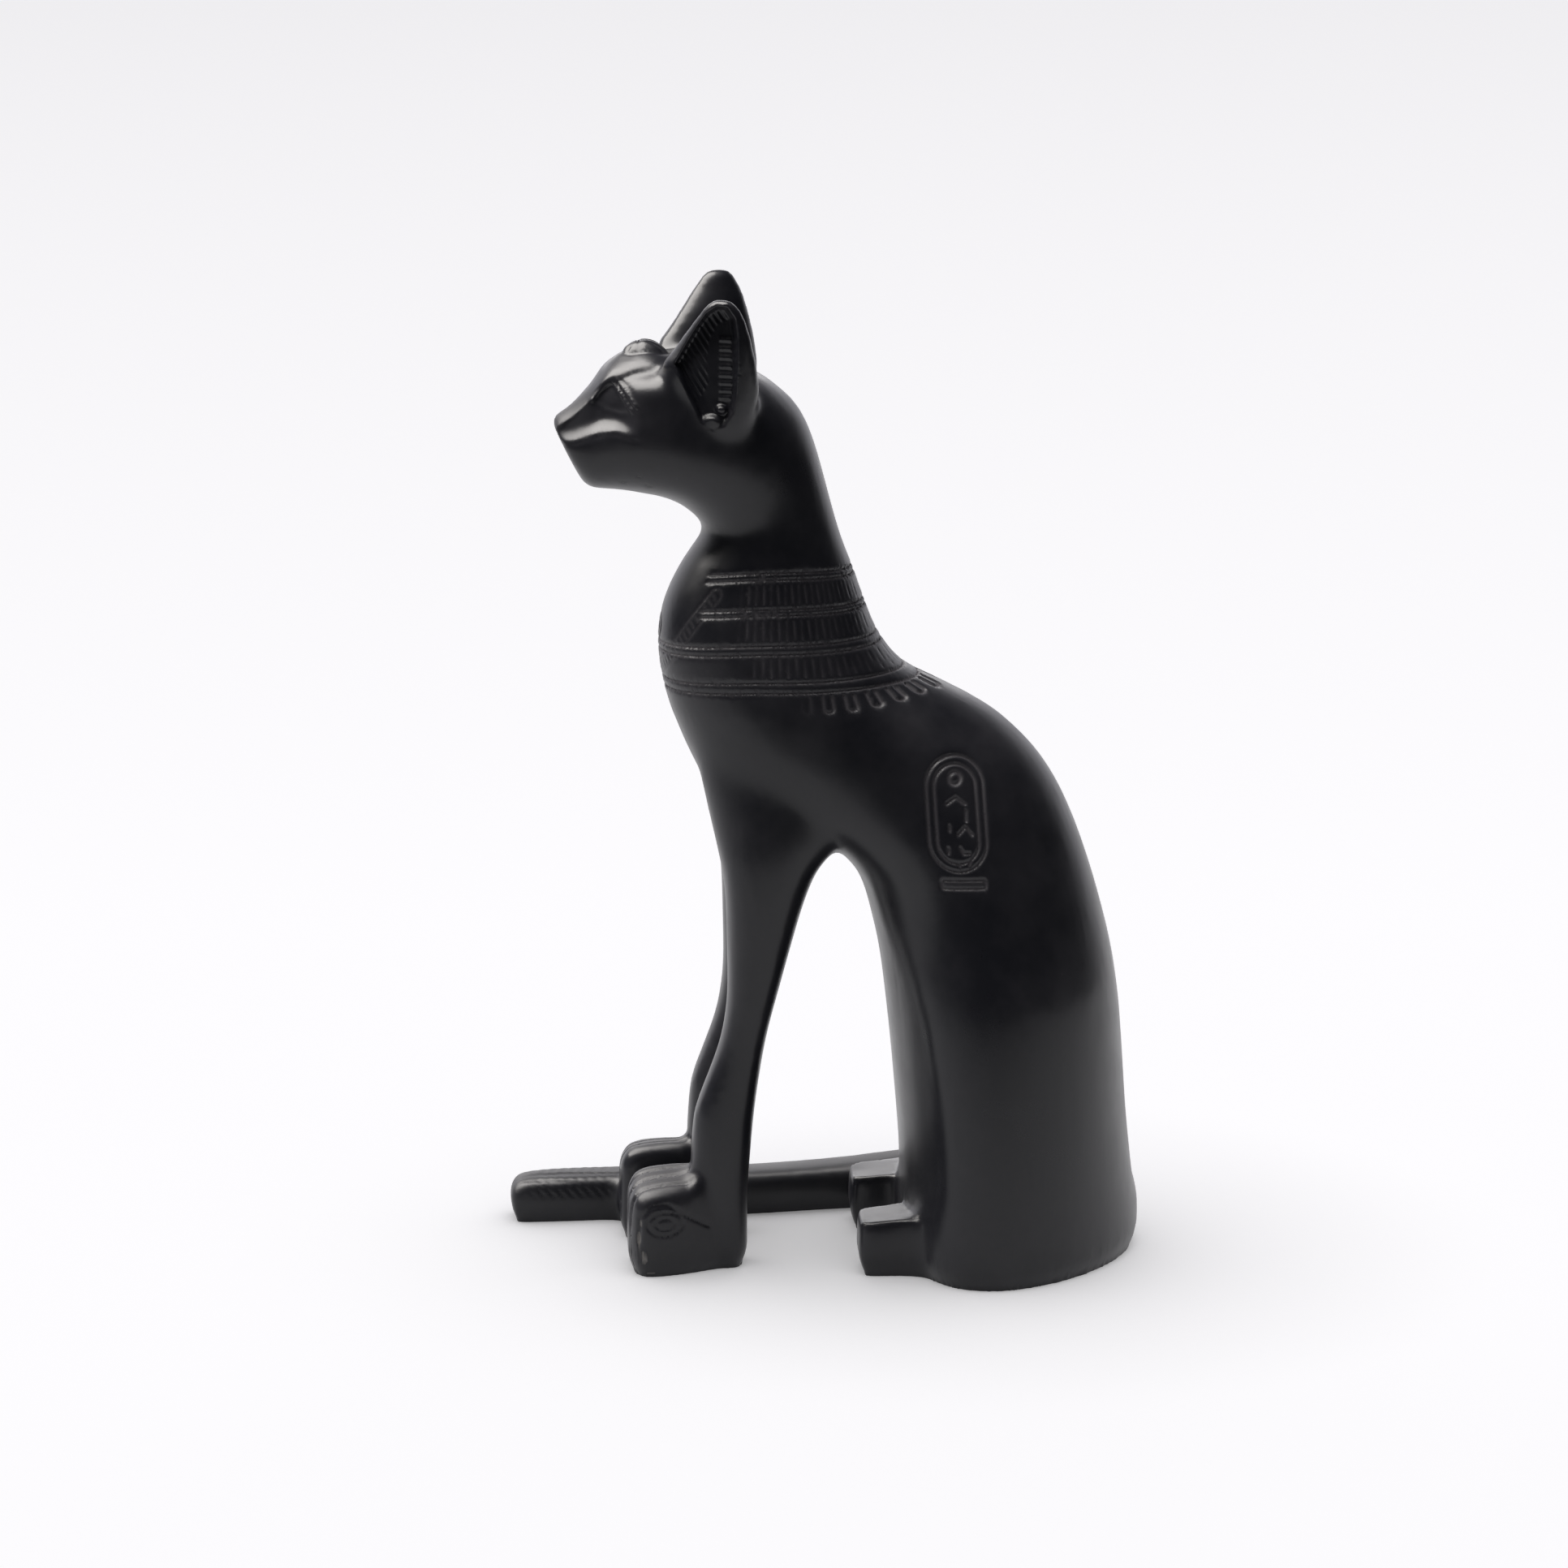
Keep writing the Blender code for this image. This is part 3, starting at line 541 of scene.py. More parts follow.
# The longest edge that stays whole at each place.
def longestEdge(point, normal):
    side, y, z = np.abs(point[:, 0]), point[:, 1], point[:, 2]
    limit = np.full(len(point), fineness["body"])

    def zone(inside, name):
        limit[inside] = np.minimum(limit[inside], fineness[name])

    zone((z > 117) & (y < -2), "head")
    zone((side > 2.2) & (y < -15.5) & (z > 125.5) & (z < 140.5), "face")
    zone((side < 4.6) & (y > -28) & (y < -15) & (z > 136), "face")
    zone((side > 6.5) & (y > -18.6) & (y < -4.5) & (z > 129.5), "ear")
    seen, inside = earPlace(point)
    zone((inside > -0.4) & (side > 7) & (normal[:, 0] * point[:, 0] > 0), "earHair")
    turn, height = collarPlace(point)
    zone((height > -4.2) & (height < 19.2) & (z > 84) & (z < 112), "collar")
    zone(collarDepth(point, normal) > 0.03, "collarLine")
    zone((point[:, 0] > 8) & (y > 19.4) & (y < 30.6) & (z > 60.6) & (z < 81.8), "cartouche")
    facing = (normal[:, 2] - normal[:, 1] > 0.25) | (point[:, 0] > 12)
    zone((z < 16.5) & (z > 4) & (y < -8) & (point[:, 0] > -17.5) & (side > 2.5) & facing, "toes")
    zone((point[:, 0] < -12.5) & (y < -24) & (z > 3.5) & (z < 8), "toes")
    zone((z > -0.8) & (z < 3.6), "base")
    return limit


# Every edge longer than its limit gets a middle point, lifted on to the curve that its two
# normals give, and each face is divided by the one, two or three such points it has.
def splitEdges(points, faces):
    ends = np.sort(np.stack([faces, np.roll(faces, -1, axis=1)], 2).reshape(-1, 2), axis=1)
    pairs, which = np.unique(ends, axis=0, return_inverse=True)
    which = which.reshape(-1, 3)
    a, b = points[pairs[:, 0]], points[pairs[:, 1]]
    middle = (a + b) / 2
    normal = normalsOf(points, faces)
    na, nb = normal[pairs[:, 0]], normal[pairs[:, 1]]
    long = np.linalg.norm(a - b, axis=1) > longestEdge(middle, (na + nb) / 2)
    lift = (np.sum((middle - a) * na, axis=1, keepdims=True) * na
            + np.sum((middle - b) * nb, axis=1, keepdims=True) * nb)
    middle = middle - 0.25 * lift
    number = np.where(long, len(points) + np.cumsum(long) - 1, -1)
    points = np.concatenate([points, middle[long]])
    mid = number[which]
    count = (mid >= 0).sum(axis=1)
    # turn each face so that its marked edges come first
    first = np.where(count == 1, np.argmax(mid >= 0, axis=1), 0)
    first = np.where(count == 2, (np.argmin(mid >= 0, axis=1) + 1) % 3, first)
    order = (first[:, None] + np.arange(3)) % 3
    v = np.take_along_axis(faces, order, 1)
    m = np.take_along_axis(mid, order, 1)
    one, two, three = v[count == 1], v[count == 2], v[count == 3]
    m1, m2, m3 = m[count == 1], m[count == 2], m[count == 3]

    def picked(corners, middles, *which):
        return np.hstack([corners, middles])[:, which]

    across = (np.linalg.norm(points[m2[:, 0]] - points[two[:, 2]], axis=1)
              < np.linalg.norm(points[m2[:, 1]] - points[two[:, 0]], axis=1))[:, None]
    parts = [
        v[count == 0],
        picked(one, m1, 0, 3, 2), picked(one, m1, 3, 1, 2), picked(two, m2, 3, 1, 4),
        np.where(across, picked(two, m2, 0, 3, 2), picked(two, m2, 0, 3, 4)),
        np.where(across, picked(two, m2, 3, 4, 2), picked(two, m2, 0, 4, 2)),
        picked(three, m3, 0, 3, 5), picked(three, m3, 3, 1, 4), picked(three, m3, 5, 4, 2), m3,
    ]
    return points, np.concatenate(parts), int(long.sum())


form = {
    "thigh": ((9.2, 65.1), (12.6, 59.0), (16.4, 50.4), (19.6, 44.2), (22.0, 37.0),
              (23.8, 30.4), (24.4, 24.0), (24.6, 16.0), (25.0, 6.0)),
    "thighRise": 0.55,
    "flank": ((12.6, 55.0), (15.8, 49.0), (18.0, 43.0), (19.4, 36.0), (20.2, 29.0),
              (20.4, 22.0), (20.2, 15.5), (20.0, 12.0)),
    "flankDepth": 0.55,
    # middle Y, half length, half width and height of the skull's crown, the forehead's ridge
    # before it, the join between them and the scarab on top
    "crown": (-21.0, 5.8, 8.0, 1.7),
    "ridge": (-26.0, 3.4, 7.0, 0.46),
    "fill": (-23.6, 1.9, 3.4, 0.26),
    "scarab": (-20.8, 4.2, 3.6, 1.0),
    "temple": (-20.6, 135.6, 3.4, 1.9, 0.6),  # middle Y, Z, half length, half height, rise
    "brow": ((-34.2, 128.8), (-31.7, 131.0), (-29.2, 133.7), (-27.9, 135.3), (-26.0, 136.9),
             (-23.0, 138.0), (-20.2, 138.5), (-17.0, 139.5)),
    # the muzzle and eye sockets over the mouth: half widths at Z 131, less so much for each
    # mm further up
    "sideAt": (-34.6, -33.0, -31.0, -29.0, -27.0, -25.0, -23.0, -21.5),
    "sideHalf": (1.8, 2.7, 3.7, 5.0, 6.05, 7.8, 9.6, 11.0),
    "sideLean": 0.26,
    "browDepth": 0.45,
    "eye": (-26.3, 134.3, 3.0, 2.1, 0.12),  # middle Y, Z, half length, half height, rise
    "mouth": ((-34.6, 126.8), (-31.6, 127.4), (-29.4, 128.3), (-27.4, 129.2),
              (-25.4, 129.5), (-23.6, 129.0), (-21.6, 128.4)),
    "padTall": 1.8,  # height over the mouth where the planes begin
    "mouthDepth": 0.16,
    # outline of the ear's hollow, with its inside on the left
    "earHollow": ((-16.9, 140.0), (-15.3, 136.6), (-13.8, 133.6), (-12.9, 131.4), (-11.2, 130.2),
                  (-9.4, 131.0), (-8.1, 133.2), (-7.6, 136.0), (-7.4, 140.0), (-7.4, 144.5),
                  (-7.8, 147.4), (-9.0, 149.1), (-10.6, 149.2), (-12.2, 148.0), (-13.6, 145.9),
                  (-15.3, 142.9), (-16.9, 140.0)),
    "earDepth": 1.3,
    "earLean": 0.12,  # how much deeper for each mm further up
    # lobes in it: middle Y, Z, half length, half height, share of the depth they take back
    "earLobes": ((-11.3, 131.4, 2.2, 1.5, 0.95), (-9.9, 133.4, 1.1, 0.9, 0.7)),
    "pawTilt": (0.17, 8.5),  # fall per mm outwards, and the half width with none
    "footTop": (8.35, 0.10, 10.7),  # hind foot: Z of its top, rise per mm back, from Y
    "baseRound": (1.1, 4.0),  # how far the lower edge draws in, and how tall it is
    "evenSteps": (7, 2),  # rounds over the plain body, and over the rest
    "evenShares": (0.5, 0.4),
}


# Heights over the skin: the skull's crown and its ridge, the scarab, the brow, eyeballs, the
# line of the mouth and the temple. A raised form is its height times 1 - rise(reach), with
# reach 1 at its edge. The brow is a step: e to the minus (distance / reach) squared under its
# line, and a thin roll over it.
def headForms(point, normal):
    side, y, z = np.abs(point[:, 0]), point[:, 1], point[:, 2]
    head = rise(z, 117, 119) * rise(-y, 13, 17)
    height = np.zeros(len(point))
    for name, edge in (("crown", 0.0), ("ridge", 0.0), ("fill", 0.0), ("scarab", 0.3)):
        middle, halfLength, halfWidth, tall = form[name]
        reach = np.sqrt(((y - middle) / halfLength) ** 2 + (side / halfWidth) ** 2)
        height += head * tall * (1 - rise(reach, edge, 1.0)) * rise(normal[:, 2], 0.0, 0.4)
    above = fromLine(point[:, 1:], form["brow"])
    brow = head * rise(side, 2.2, 5.0) * rise(-y, 16.0, 20.0) * rise(y, -30, -27)
    below = np.maximum(-above, 0)
    height += brow * (0.10 * bump(above - 0.9, 0.9)
                      - form["browDepth"] * rise(-above, -0.12, 0.38) * bump(below, 2.0))
    eyeY, eyeZ, eyeLong, eyeTall, eyeRise = form["eye"]
    eye = np.hypot((y - eyeY) / eyeLong, (z - eyeZ) / eyeTall)
    height += head * rise(side, 3, 5) * eyeRise * (1 - rise(eye, 0.4, 1.0))
    above = fromLine(point[:, 1:], form["mouth"])
    lips = head * rise(side, 1.0, 3.5) * rise(-y, 21.4, 23.6) * rise(y, -34.2, -31.8)
    height -= lips * form["mouthDepth"] * bump(above + 0.35, 0.4)
    templeY, templeZ, halfLong, halfTall, tall = form["temple"]
    height += head * rise(side, 3, 6) * tall * bump(
        np.hypot((y - templeY) / halfLong, (z - templeZ) / halfTall), 1.0)
    return height


# The muzzle's sides and the eye sockets over the mouth, pressed in to steep planes: what
# stands out past the plane, times its share from mouth to brow.
def flattenMuzzle(point):
    side, y, z = np.abs(point[:, 0]), point[:, 1], point[:, 2]
    near = (z > 126) & (z < 140) & (y < -21.5)
    spot, s = point[near, 1:], side[near]
    over = np.clip(fromLine(spot, form["mouth"]) / form["padTall"], 0, 1)
    over = over * (2 - over)
    under = rise(-fromLine(spot, form["brow"]), -0.2, 0.5)
    most = np.interp(spot[:, 0], form["sideAt"], form["sideHalf"])
    most -= form["sideLean"] * (spot[:, 1] - 131)
    press = over * under * rise(-spot[:, 0], 21.2, 24.2) * np.maximum(s - most, 0)
    point[near, 0] -= np.sign(point[near, 0]) * press


# The thigh's front edge with the hollow before it, as bumps along two lines.
def bodyForms(point):
    side, z = np.abs(point[:, 0]), point[:, 2]
    flank = rise(side, 7, 12)
    thigh = bump(fromLine(point[:, 1:], form["thigh"]), 3.0)
    hollow = bump(fromLine(point[:, 1:], form["flank"]), 2.6)
    height = form["thighRise"] * flank * thigh * rise(z, 12, 26) * rise(66 - z, 0, 12)
    return height - form["flankDepth"] * flank * hollow * rise(z, 9, 13) * rise(60 - z, 0, 14)


# Both ears seen as the left one: Y and Z, and how far inside the hollow's outline.
def earPlace(point):
    seen = point[:, 1:].copy()
    right = (seen[:, 0] - cat["rightEarBack"] - cat["earMiddle"]) / cat["rightEarLong"]
    seen[:, 0] = np.where(point[:, 0] < 0, right + cat["earMiddle"], seen[:, 0])
    near = (np.abs(point[:, 0]) > 5.5) & (point[:, 2] > 127) & (point[:, 1] > -20)
    inside = np.full(len(point), -9.0)
    inside[near] = fromLine(seen[near], form["earHollow"])
    return seen, inside


# The ears' outer faces, sunk between their rims: steep at the rim, then dished, and less
# deep at two lobes at the foot.
def hollowEars(point, normal):
    outward = np.sign(point[:, 0])
    seen, inside = earPlace(point)
    face = rise(normal[:, 0] * outward, 0.25, 0.65) * rise(np.abs(point[:, 0]), 6.5, 8.5)
    sink = form["earDepth"] * (0.75 * rise(inside, -0.1, 0.7) + 0.25 * rise(inside, 0.2, 2.2))
    sink += form["earLean"] * np.clip(point[:, 2] - 133, 0, 14) * rise(inside, 0.0, 1.0)
    for middleY, middleZ, long, tall, share in form["earLobes"]:
        reach = np.hypot((seen[:, 0] - middleY) / long, (seen[:, 1] - middleZ) / tall)
        sink *= 1 - share * (1 - rise(reach, 0.35, 1.0))
    point[:, 0] -= outward * sink * face


carving = {
    "line": 0.22,  # half width of a cut line, mm
    "ringLevels": (108.3, 107.3, 103.0, 102.1, 97.7, 96.4, 92.2, 90.7),
    "ringDrop": 1.5,
    "ringDepth": 0.30,
    "ringFrontStop": (1, 1, 1, 1, 0, 0, 0, 0),
    "hatchPitch": 0.085,  # radians round the neck
    "hatchDepth": 0.16,
    "dropPitch": 0.195,
    "dropDepth": 0.28,
    "wing": ((0.0, 93.6), (3.2, 94.2), (6.6, 96.4), (8.4, 98.9), (10.2, 101.8), (12.6, 105.4)),
    "wingHalf": 0.95,
    "disc": (0.0, 99.6, 2.3),
    "cartoucheMiddle": (24.85, 76.0, 0.055),  # Y at that Z, and its lean below it
    "cartoucheEnds": (68.4, 76.4),
    "cartoucheRadii": (4.35, 3.15),
    "cartoucheDepth": 0.30,
    "strokes": (((23.6, 74.0), (25.0, 74.9), (26.4, 73.8)), ((26.5, 73.0), (26.5, 71.4)),
                ((24.0, 70.8), (24.0, 70.1)), ((25.3, 69.5), (26.4, 70.6), (27.4, 69.4)),
                ((25.6, 67.5), (26.1, 66.7), (27.0, 66.7)), ((23.8, 67.5), (23.8, 66.8)),
                ((25.3, 65.3), (25.5, 64.9)), ((27.1, 65.4), (26.9, 65.0))),
    "toeGaps": (-2.9, 0.0, 2.9),
    "tailFrom": (-40.6, -26.5, 1.55),
    "pawArc": ((-22.7, 5.6), (-22.6, 9.4), (-20.8, 11.3), (-18.4, 11.5), (-16.7, 10.3),
               (-14.4, 8.9), (-12.1, 7.5)),
    "pawOval": (-18.7, 8.5, 2.7, 1.75),
    "hairPitch": 0.86,
    "hairEnd": ((-13.9, 133.4), (-11.9, 137.2), (-12.0, 140.5), (-11.6, 143.8), (-10.3, 146.2),
                (-8.2, 147.2)),
    "pillows": (143.8, 142.5, 141.2, 139.9, 138.6, 137.4, 136.3, 135.2),
    "eyeFront": ((-25.6, 136.4), (-27.4, 135.0), (-28.8, 133.3)),
    "eyeRear": (((-25.0, 136.6), (-23.7, 135.1), (-22.3, 133.2)),
                ((-25.5, 136.0), (-24.3, 134.4), (-23.0, 132.6))),
    "eyeLow": ((-28.8, 133.2), (-27.0, 132.2), (-24.6, 131.8), (-22.0, 132.4)),
}


# Turn round the neck from the front, in radians, and height over the lowest ring.
def collarPlace(point):
    side, y, z = np.abs(point[:, 0]), point[:, 1], point[:, 2]
    turn = np.arctan2(side, -(y + 2.0))
    sag = np.where(turn < np.pi / 2, 1.0, np.clip((z - 90) / 17, 0, 1) * 0.65)
    level = z + carving["ringDrop"] * sag * np.cos(turn) ** 2
    return turn, level - carving["ringLevels"][-1]


# Double rings, upright hatching between them, drops under the last, and two feathered bands that
# meet under a disc on the chest: e to the minus (distance / width) squared.
def collarDepth(point, normal):
    turn, height = collarPlace(point)
    level = height + carving["ringLevels"][-1]
    width = carving["line"]
    near = (level > 84) & (level < 112) & (point[:, 2] > 83) & (point[:, 2] < 112)
    depth = np.zeros(len(point))
    t, h = turn[near], level[near]
    slope = 1 / np.sqrt(np.maximum(1 - normal[near, 2] ** 2, 0.3))
    cut = np.zeros(near.sum())
    for ring, stops in zip(carving["ringLevels"], carving["ringFrontStop"]):
        shown = rise(t, 0.72, 0.80) if stops else 1.0
        cut = np.maximum(cut, carving["ringDepth"] * shown * bump((h - ring) * slope, width))
    pitch = carving["hatchPitch"]
    stroke = np.abs((t / pitch + 0.5) % 1 - 0.5) * pitch * 13.5
    waver = 0.5 + 0.5 * np.sin(t * 37.0 + h * 1.3)
    rings = carving["ringLevels"]
    for low, high, begins in ((rings[2], rings[1], 1.15), (rings[4], rings[3], 1.15),
                              (rings[6], rings[5], 1.3)):
        band = rise(h, low + 0.55, low + 0.85) * rise(-h, 0.55 - high, 0.85 - high)
        shown = band * rise(t, begins, begins + 0.1) * (0.35 + 0.65 * waver)
        shown = shown * (1 - 0.6 * rise(t, 2.0, 2.6))
        cut = np.maximum(cut, carving["hatchDepth"] * shown * bump(stroke, 0.2))
    pitch = carving["dropPitch"]
    across = np.abs((t / pitch) % 1 - 0.5) * pitch * 15.0
    under = (rings[-1] - h) * slope
    drop = np.where(under < 2.5, across, np.hypot(across, under - 2.5))
    drop = np.abs(drop - 0.62)
    shown = rise(under, 0.35, 0.6) * rise(-under, -3.6, -3.3) * rise(t, 1.72, 2.15)
    cut = np.maximum(cut, carving["dropDepth"] * shown * bump(drop, 0.24))
    plane = np.column_stack([t * 14.0, h])
    front = t < 1.0
    wing = np.full(len(t), 9.0)
    wing[front] = fromLine(plane[front], carving["wing"])
    inWing = front & (np.abs(wing) < carving["wingHalf"] + 0.8)
    edge = np.abs(np.abs(wing) - carving["wingHalf"])
    feather = np.abs(((plane[:, 0] * 0.75 + plane[:, 1] * 0.6) / 0.9) % 1 - 0.5) * 0.9
    barbs = carving["hatchDepth"] * bump(feather, 0.2)
    barbs = barbs * rise(carving["wingHalf"] - np.abs(wing), 0.1, 0.4)
    cut = np.maximum(cut, inWing * np.maximum(0.09 * bump(edge, width), 0.55 * barbs))
    discX, discZ, radius = carving["disc"]
    disc = np.hypot(plane[:, 0] - discX, plane[:, 1] - discZ)
    rims = np.maximum(bump(disc - radius, width), bump(disc - 1.1, width))
    cut = np.maximum(cut, 0.25 * front * rims)
    depth[near] = cut
    return depth


# Two stadium rings, a base bar, a small disc and rows of short strokes on the left flank.
def cartoucheDepth(point):
    y, z = point[:, 1], point[:, 2]
    near = (point[:, 0] > 8) & (y > 19) & (y < 31) & (z > 60) & (z < 82.5)
    depth = np.zeros(len(point))
    middle, at, lean = carving["cartoucheMiddle"]
    seen = np.column_stack([y[near] - lean * (at - z[near]), z[near]])
    low, high = carving["cartoucheEnds"]
    reach = np.hypot(seen[:, 0] - middle, seen[:, 1] - np.clip(seen[:, 1], low, high))
    cut = np.zeros(near.sum())
    for radius in carving["cartoucheRadii"]:
        cut = np.maximum(cut, bump(reach - radius, 0.24))
    bar = np.maximum(np.abs(y[near] - 26.1) - 3.0, 0)
    bar = np.hypot(bar, np.maximum(np.abs(z[near] - 62.15) - 0.3, 0))
    cut = np.maximum(cut, bump(bar - 0.3, 0.26))
    disc = np.hypot(y[near] - 24.9, z[near] - 77.6)
    cut = np.maximum(cut, bump(disc - 0.85, 0.34))
    spot = np.column_stack([y[near], z[near]])
    for stroke in carving["strokes"]:
        cut = np.maximum(cut, bump(fromLine(spot, stroke), 0.25))
    depth[near] = carving["cartoucheDepth"] * cut
    return depth


# Hair ridges slanting back from the front rim, as a cosine across them, and pillows along
# the rear.
def earDepth(point, normal):
    seen, inside = earPlace(point)
    near = (inside > -0.2) & (np.abs(point[:, 0]) > 6) & (normal[:, 0] * point[:, 0] > 0)
    y, z, deep = seen[near, 0], seen[near, 1], inside[near]
    spot = np.column_stack([y, z])
    across = (y + 16.6) * 0.839 + (z - 139.8) * 0.545
    front = rise(fromLine(spot, carving["hairEnd"]), -0.25, 0.35) * rise(deep, 0.1, 0.5)
    ridge = -0.12 * front * np.cos(2 * np.pi * across / carving["hairPitch"])
    pillow = np.zeros(len(y))
    for level in carving["pillows"]:
        pillow = np.maximum(pillow, bump(z - level, 0.40))
    ridge -= 0.24 * rise(y, -10.4, -9.9) * rise(-y, 7.9, 8.3) * pillow
    ridge *= rise(np.abs(normal[near, 0]), 0.6, 0.85)
    depth = np.zeros(len(point))
    depth[near] = ridge
    return depth


# Rims of the eyes, nostrils and the scarab's lines.
def faceDepth(point, normal):
    side, y, z = np.abs(point[:, 0]), point[:, 1], point[:, 2]
    near = (z > 118) & (y < -14)
    depth = np.zeros(len(point))
    s, seen = side[near], point[near, 1:]
    head = rise(s, 2.8, 4.2)
    cut = -head * 0.24 * bump(fromLine(seen, carving["eyeFront"]), 0.30)
    for line in carving["eyeRear"]:
        cut -= head * 0.36 * bump(fromLine(seen, line), 0.27)
    cut -= head * 0.08 * bump(fromLine(seen, carving["eyeLow"]), 0.4)
    upper = rise(normal[near, 2], 0.2, 0.5) * rise(seen[:, 1], 136, 137.5)
    middle, halfLength, halfWidth, tall = form["scarab"]
    reach = np.hypot((seen[:, 0] - middle) / (halfLength * 0.86), s / (halfWidth * 0.86))
    inside = 1 - rise(reach, 0.85, 0.95)
    cut += upper * 0.22 * bump((reach - 1.0) * 3.2, 0.3)
    cut += upper * inside * 0.2 * np.maximum(
        bump(s, 0.22) * rise(seen[:, 0], -21.6, -21.2), bump(seen[:, 0] + 21.8, 0.22))
    cut += upper * inside * 0.2 * bump(np.hypot(s - 1.3, seen[:, 0] + 23.4), 0.34)
    for k in (1.15, 2.3):
        cut += upper * inside * 0.13 * bump(s - k, 0.2) * rise(seen[:, 0], -20.9, -20.4)
    nose = np.hypot(s - 1.5, (seen[:, 1] - 128.3) * 1.2)
    cut += 0.35 * bump(nose, 0.45) * rise(-seen[:, 0], 32.5, 33.5)
    depth[near] = cut
    return depth


# The tops of the paws tilt down towards their outer sides, and the hind feet are flat on top:
# every point that faces up there moves on to one plane.
def slopeFeet(point, normal):
    side, y, z = np.abs(point[:, 0]), point[:, 1], point[:, 2]
    paw = rise(z, 6, 12) * rise(-y, 13.5, 15.5) * rise(17 - z, 0, 1) * (side < 17.5)
    tilt, level = form["pawTilt"]
    point[:, 2] -= paw * tilt * (side - level)
    foot = rise(z, 6, 7) * rise(normal[:, 2], 0.15, 0.4) * rise(20.5 - y, 0, 2.5)
    foot = foot * (side < 18.5) * (y > 8) * (side > 6.5) * (z < 11.5)
    top, slope, begin = form["footTop"]
    point[:, 2] += foot * (top + slope * (y - begin) - z)


# The lowest few millimetres draw in: so far, times the square of the share of their height.
def roundBase(point, normal):
    far, tall = form["baseRound"]
    flat = normal[:, :2]
    flat = flat / np.maximum(np.linalg.norm(flat, axis=1, keepdims=True), 0.3)
    point[:, :2] -= (far * (np.clip(tall - point[:, 2:], 0, tall) / tall) ** 2) * flat


# Toes of the paws, the ornament on the left paw and the tail's scales.
def footDepth(point, normal):
    side, y, z = np.abs(point[:, 0]), point[:, 1], point[:, 2]
    depth = np.zeros(len(point))
    near = (z < 17) & (z > 1.5)
    s, v, h = side[near], y[near], z[near]
    frontOrTop = rise(normal[near, 2] - normal[near, 1], 0.3, 0.8)
    cut = np.zeros(near.sum())
    for gap in carving["toeGaps"]:
        paw = frontOrTop * rise(-v, 13.5, 16) * rise(h, 5, 9) * (s > 2) * (s < 17.5)
        cut += paw * 0.36 * bump(s - 10.1 - gap + 0.1 * (v + 18), 0.36)
    seen = np.column_stack([v, h])
    outer = rise(normal[near, 0], 0.35, 0.6) * (point[near, 0] > 10) * rise(-v, 9, 11)
    cut += outer * 0.2 * bump(fromLine(seen, carving["pawArc"]), 0.34)
    ovalY, ovalZ, wide, tall = carving["pawOval"]
    for share in (1.0, 0.5):
        oval = (np.hypot((v - ovalY) / wide, (h - ovalZ) / tall) - share) * 2.1
        cut += outer * 0.16 * bump(oval, 0.3)
    x = point[near, 0]
    tail = (x < -10) * rise(h, 3.6, 4.8) * rise(-v, 25.5, 27) * rise(v, -40.5, -37)
    begin, end, pitch = carving["tailFrom"]
    bow = v - 0.10 * (x + 17.8) ** 2 - 0.75 * np.maximum(6.3 - h, 0)
    scale = np.abs(((bow - begin) / pitch) % 1 - 0.5) * pitch
    cut += tail * (0.12 - 0.07 * rise(h, 5.6, 6.6)) * bump(scale, 0.40)
    depth[near] = cut
    return depth


# Broad forms first, lightly evened out, then the lines cut into them.
def carve(points, faces):
    normal = normalsOf(points, faces)
    hollowEars(points, normal)
    flattenMuzzle(points)
    height = headForms(points, normal) + bodyForms(points)
    points = points + height[:, None] * normal
    slopeFeet(points, normal)
    pairs = pairsOf(faces)
    y, z = points[:, 1], points[:, 2]
    plain = rise(z, 17, 21) * (1 - rise(z, 116, 119) * rise(-y, 4, 8))
    (onBody, onRest), (bodyShare, restShare) = form["evenSteps"], form["evenShares"]
    for step in range(onBody):
        share = np.maximum(bodyShare * plain, restShare * (step < onRest))
        points = points + share[:, None] * pullToNeighbours(points, pairs)
    roundBase(points, normal)
    normal = normalsOf(points, faces)
    lines = np.maximum(collarDepth(points, normal), cartoucheDepth(points))
    other = earDepth(points, normal) + faceDepth(points, normal) + footDepth(points, normal)
    worn = wornPlaces(points, normal)
    other += wear["chipDepth"] * rise(worn, 0.65, 1.0)
    points = points - (lines + other)[:, None] * normal
    return points, lines, worn


wear = {
    "nose": 0.6,
    "pawTops": 0.6,
    "chipDepth": 0.12,
    # chips on the left paw's lower corner and the jaw, on the side X > 5: Y, Z, how long, how
    # tall, strength
    "chips": ((-22.0, 3.3, 0.75, 1.2, 1.0), (-22.8, 6.2, 0.35, 1.3, 0.9),
              (-20.9, 0.6, 0.8, 0.4, 0.9), (-22.5, 8.6, 0.3, 0.8, 0.8),
              (-24.2, 121.4, 0.4, 0.3, 0.8), (-22.0, 122.6, 0.6, 0.25, 0.8),
              (-20.6, 120.9, 0.5, 0.25, 0.8)),
}


# Rubbed places: up to 0.6 only dulls the stone, and more shows the paler cast.
def wornPlaces(point, normal):
    x, y, z = point.T
    worn = wear["nose"] * rise(-y, 28.5, 32.0) * rise(z, 126.5, 129.5)
    paws = rise(normal[:, 2], 0.5, 0.8) * rise(z, 8, 10) * rise(20 - z, 0, 2) * (y < -11)
    tail = rise(-x, 11, 12.5) * rise(9 - z, 0, 1) * rise(z, 3, 4)
    worn = np.maximum(worn + wear["pawTops"] * paws, wear["pawTops"] * tail)
    for chipY, chipZ, long, tall, strength in wear["chips"]:
        away = np.hypot((y - chipY) / long, (z - chipZ) / tall)
        worn = np.maximum(worn, strength * (x > 5) * (1 - rise(away, 0.6, 1.5)))
    return worn


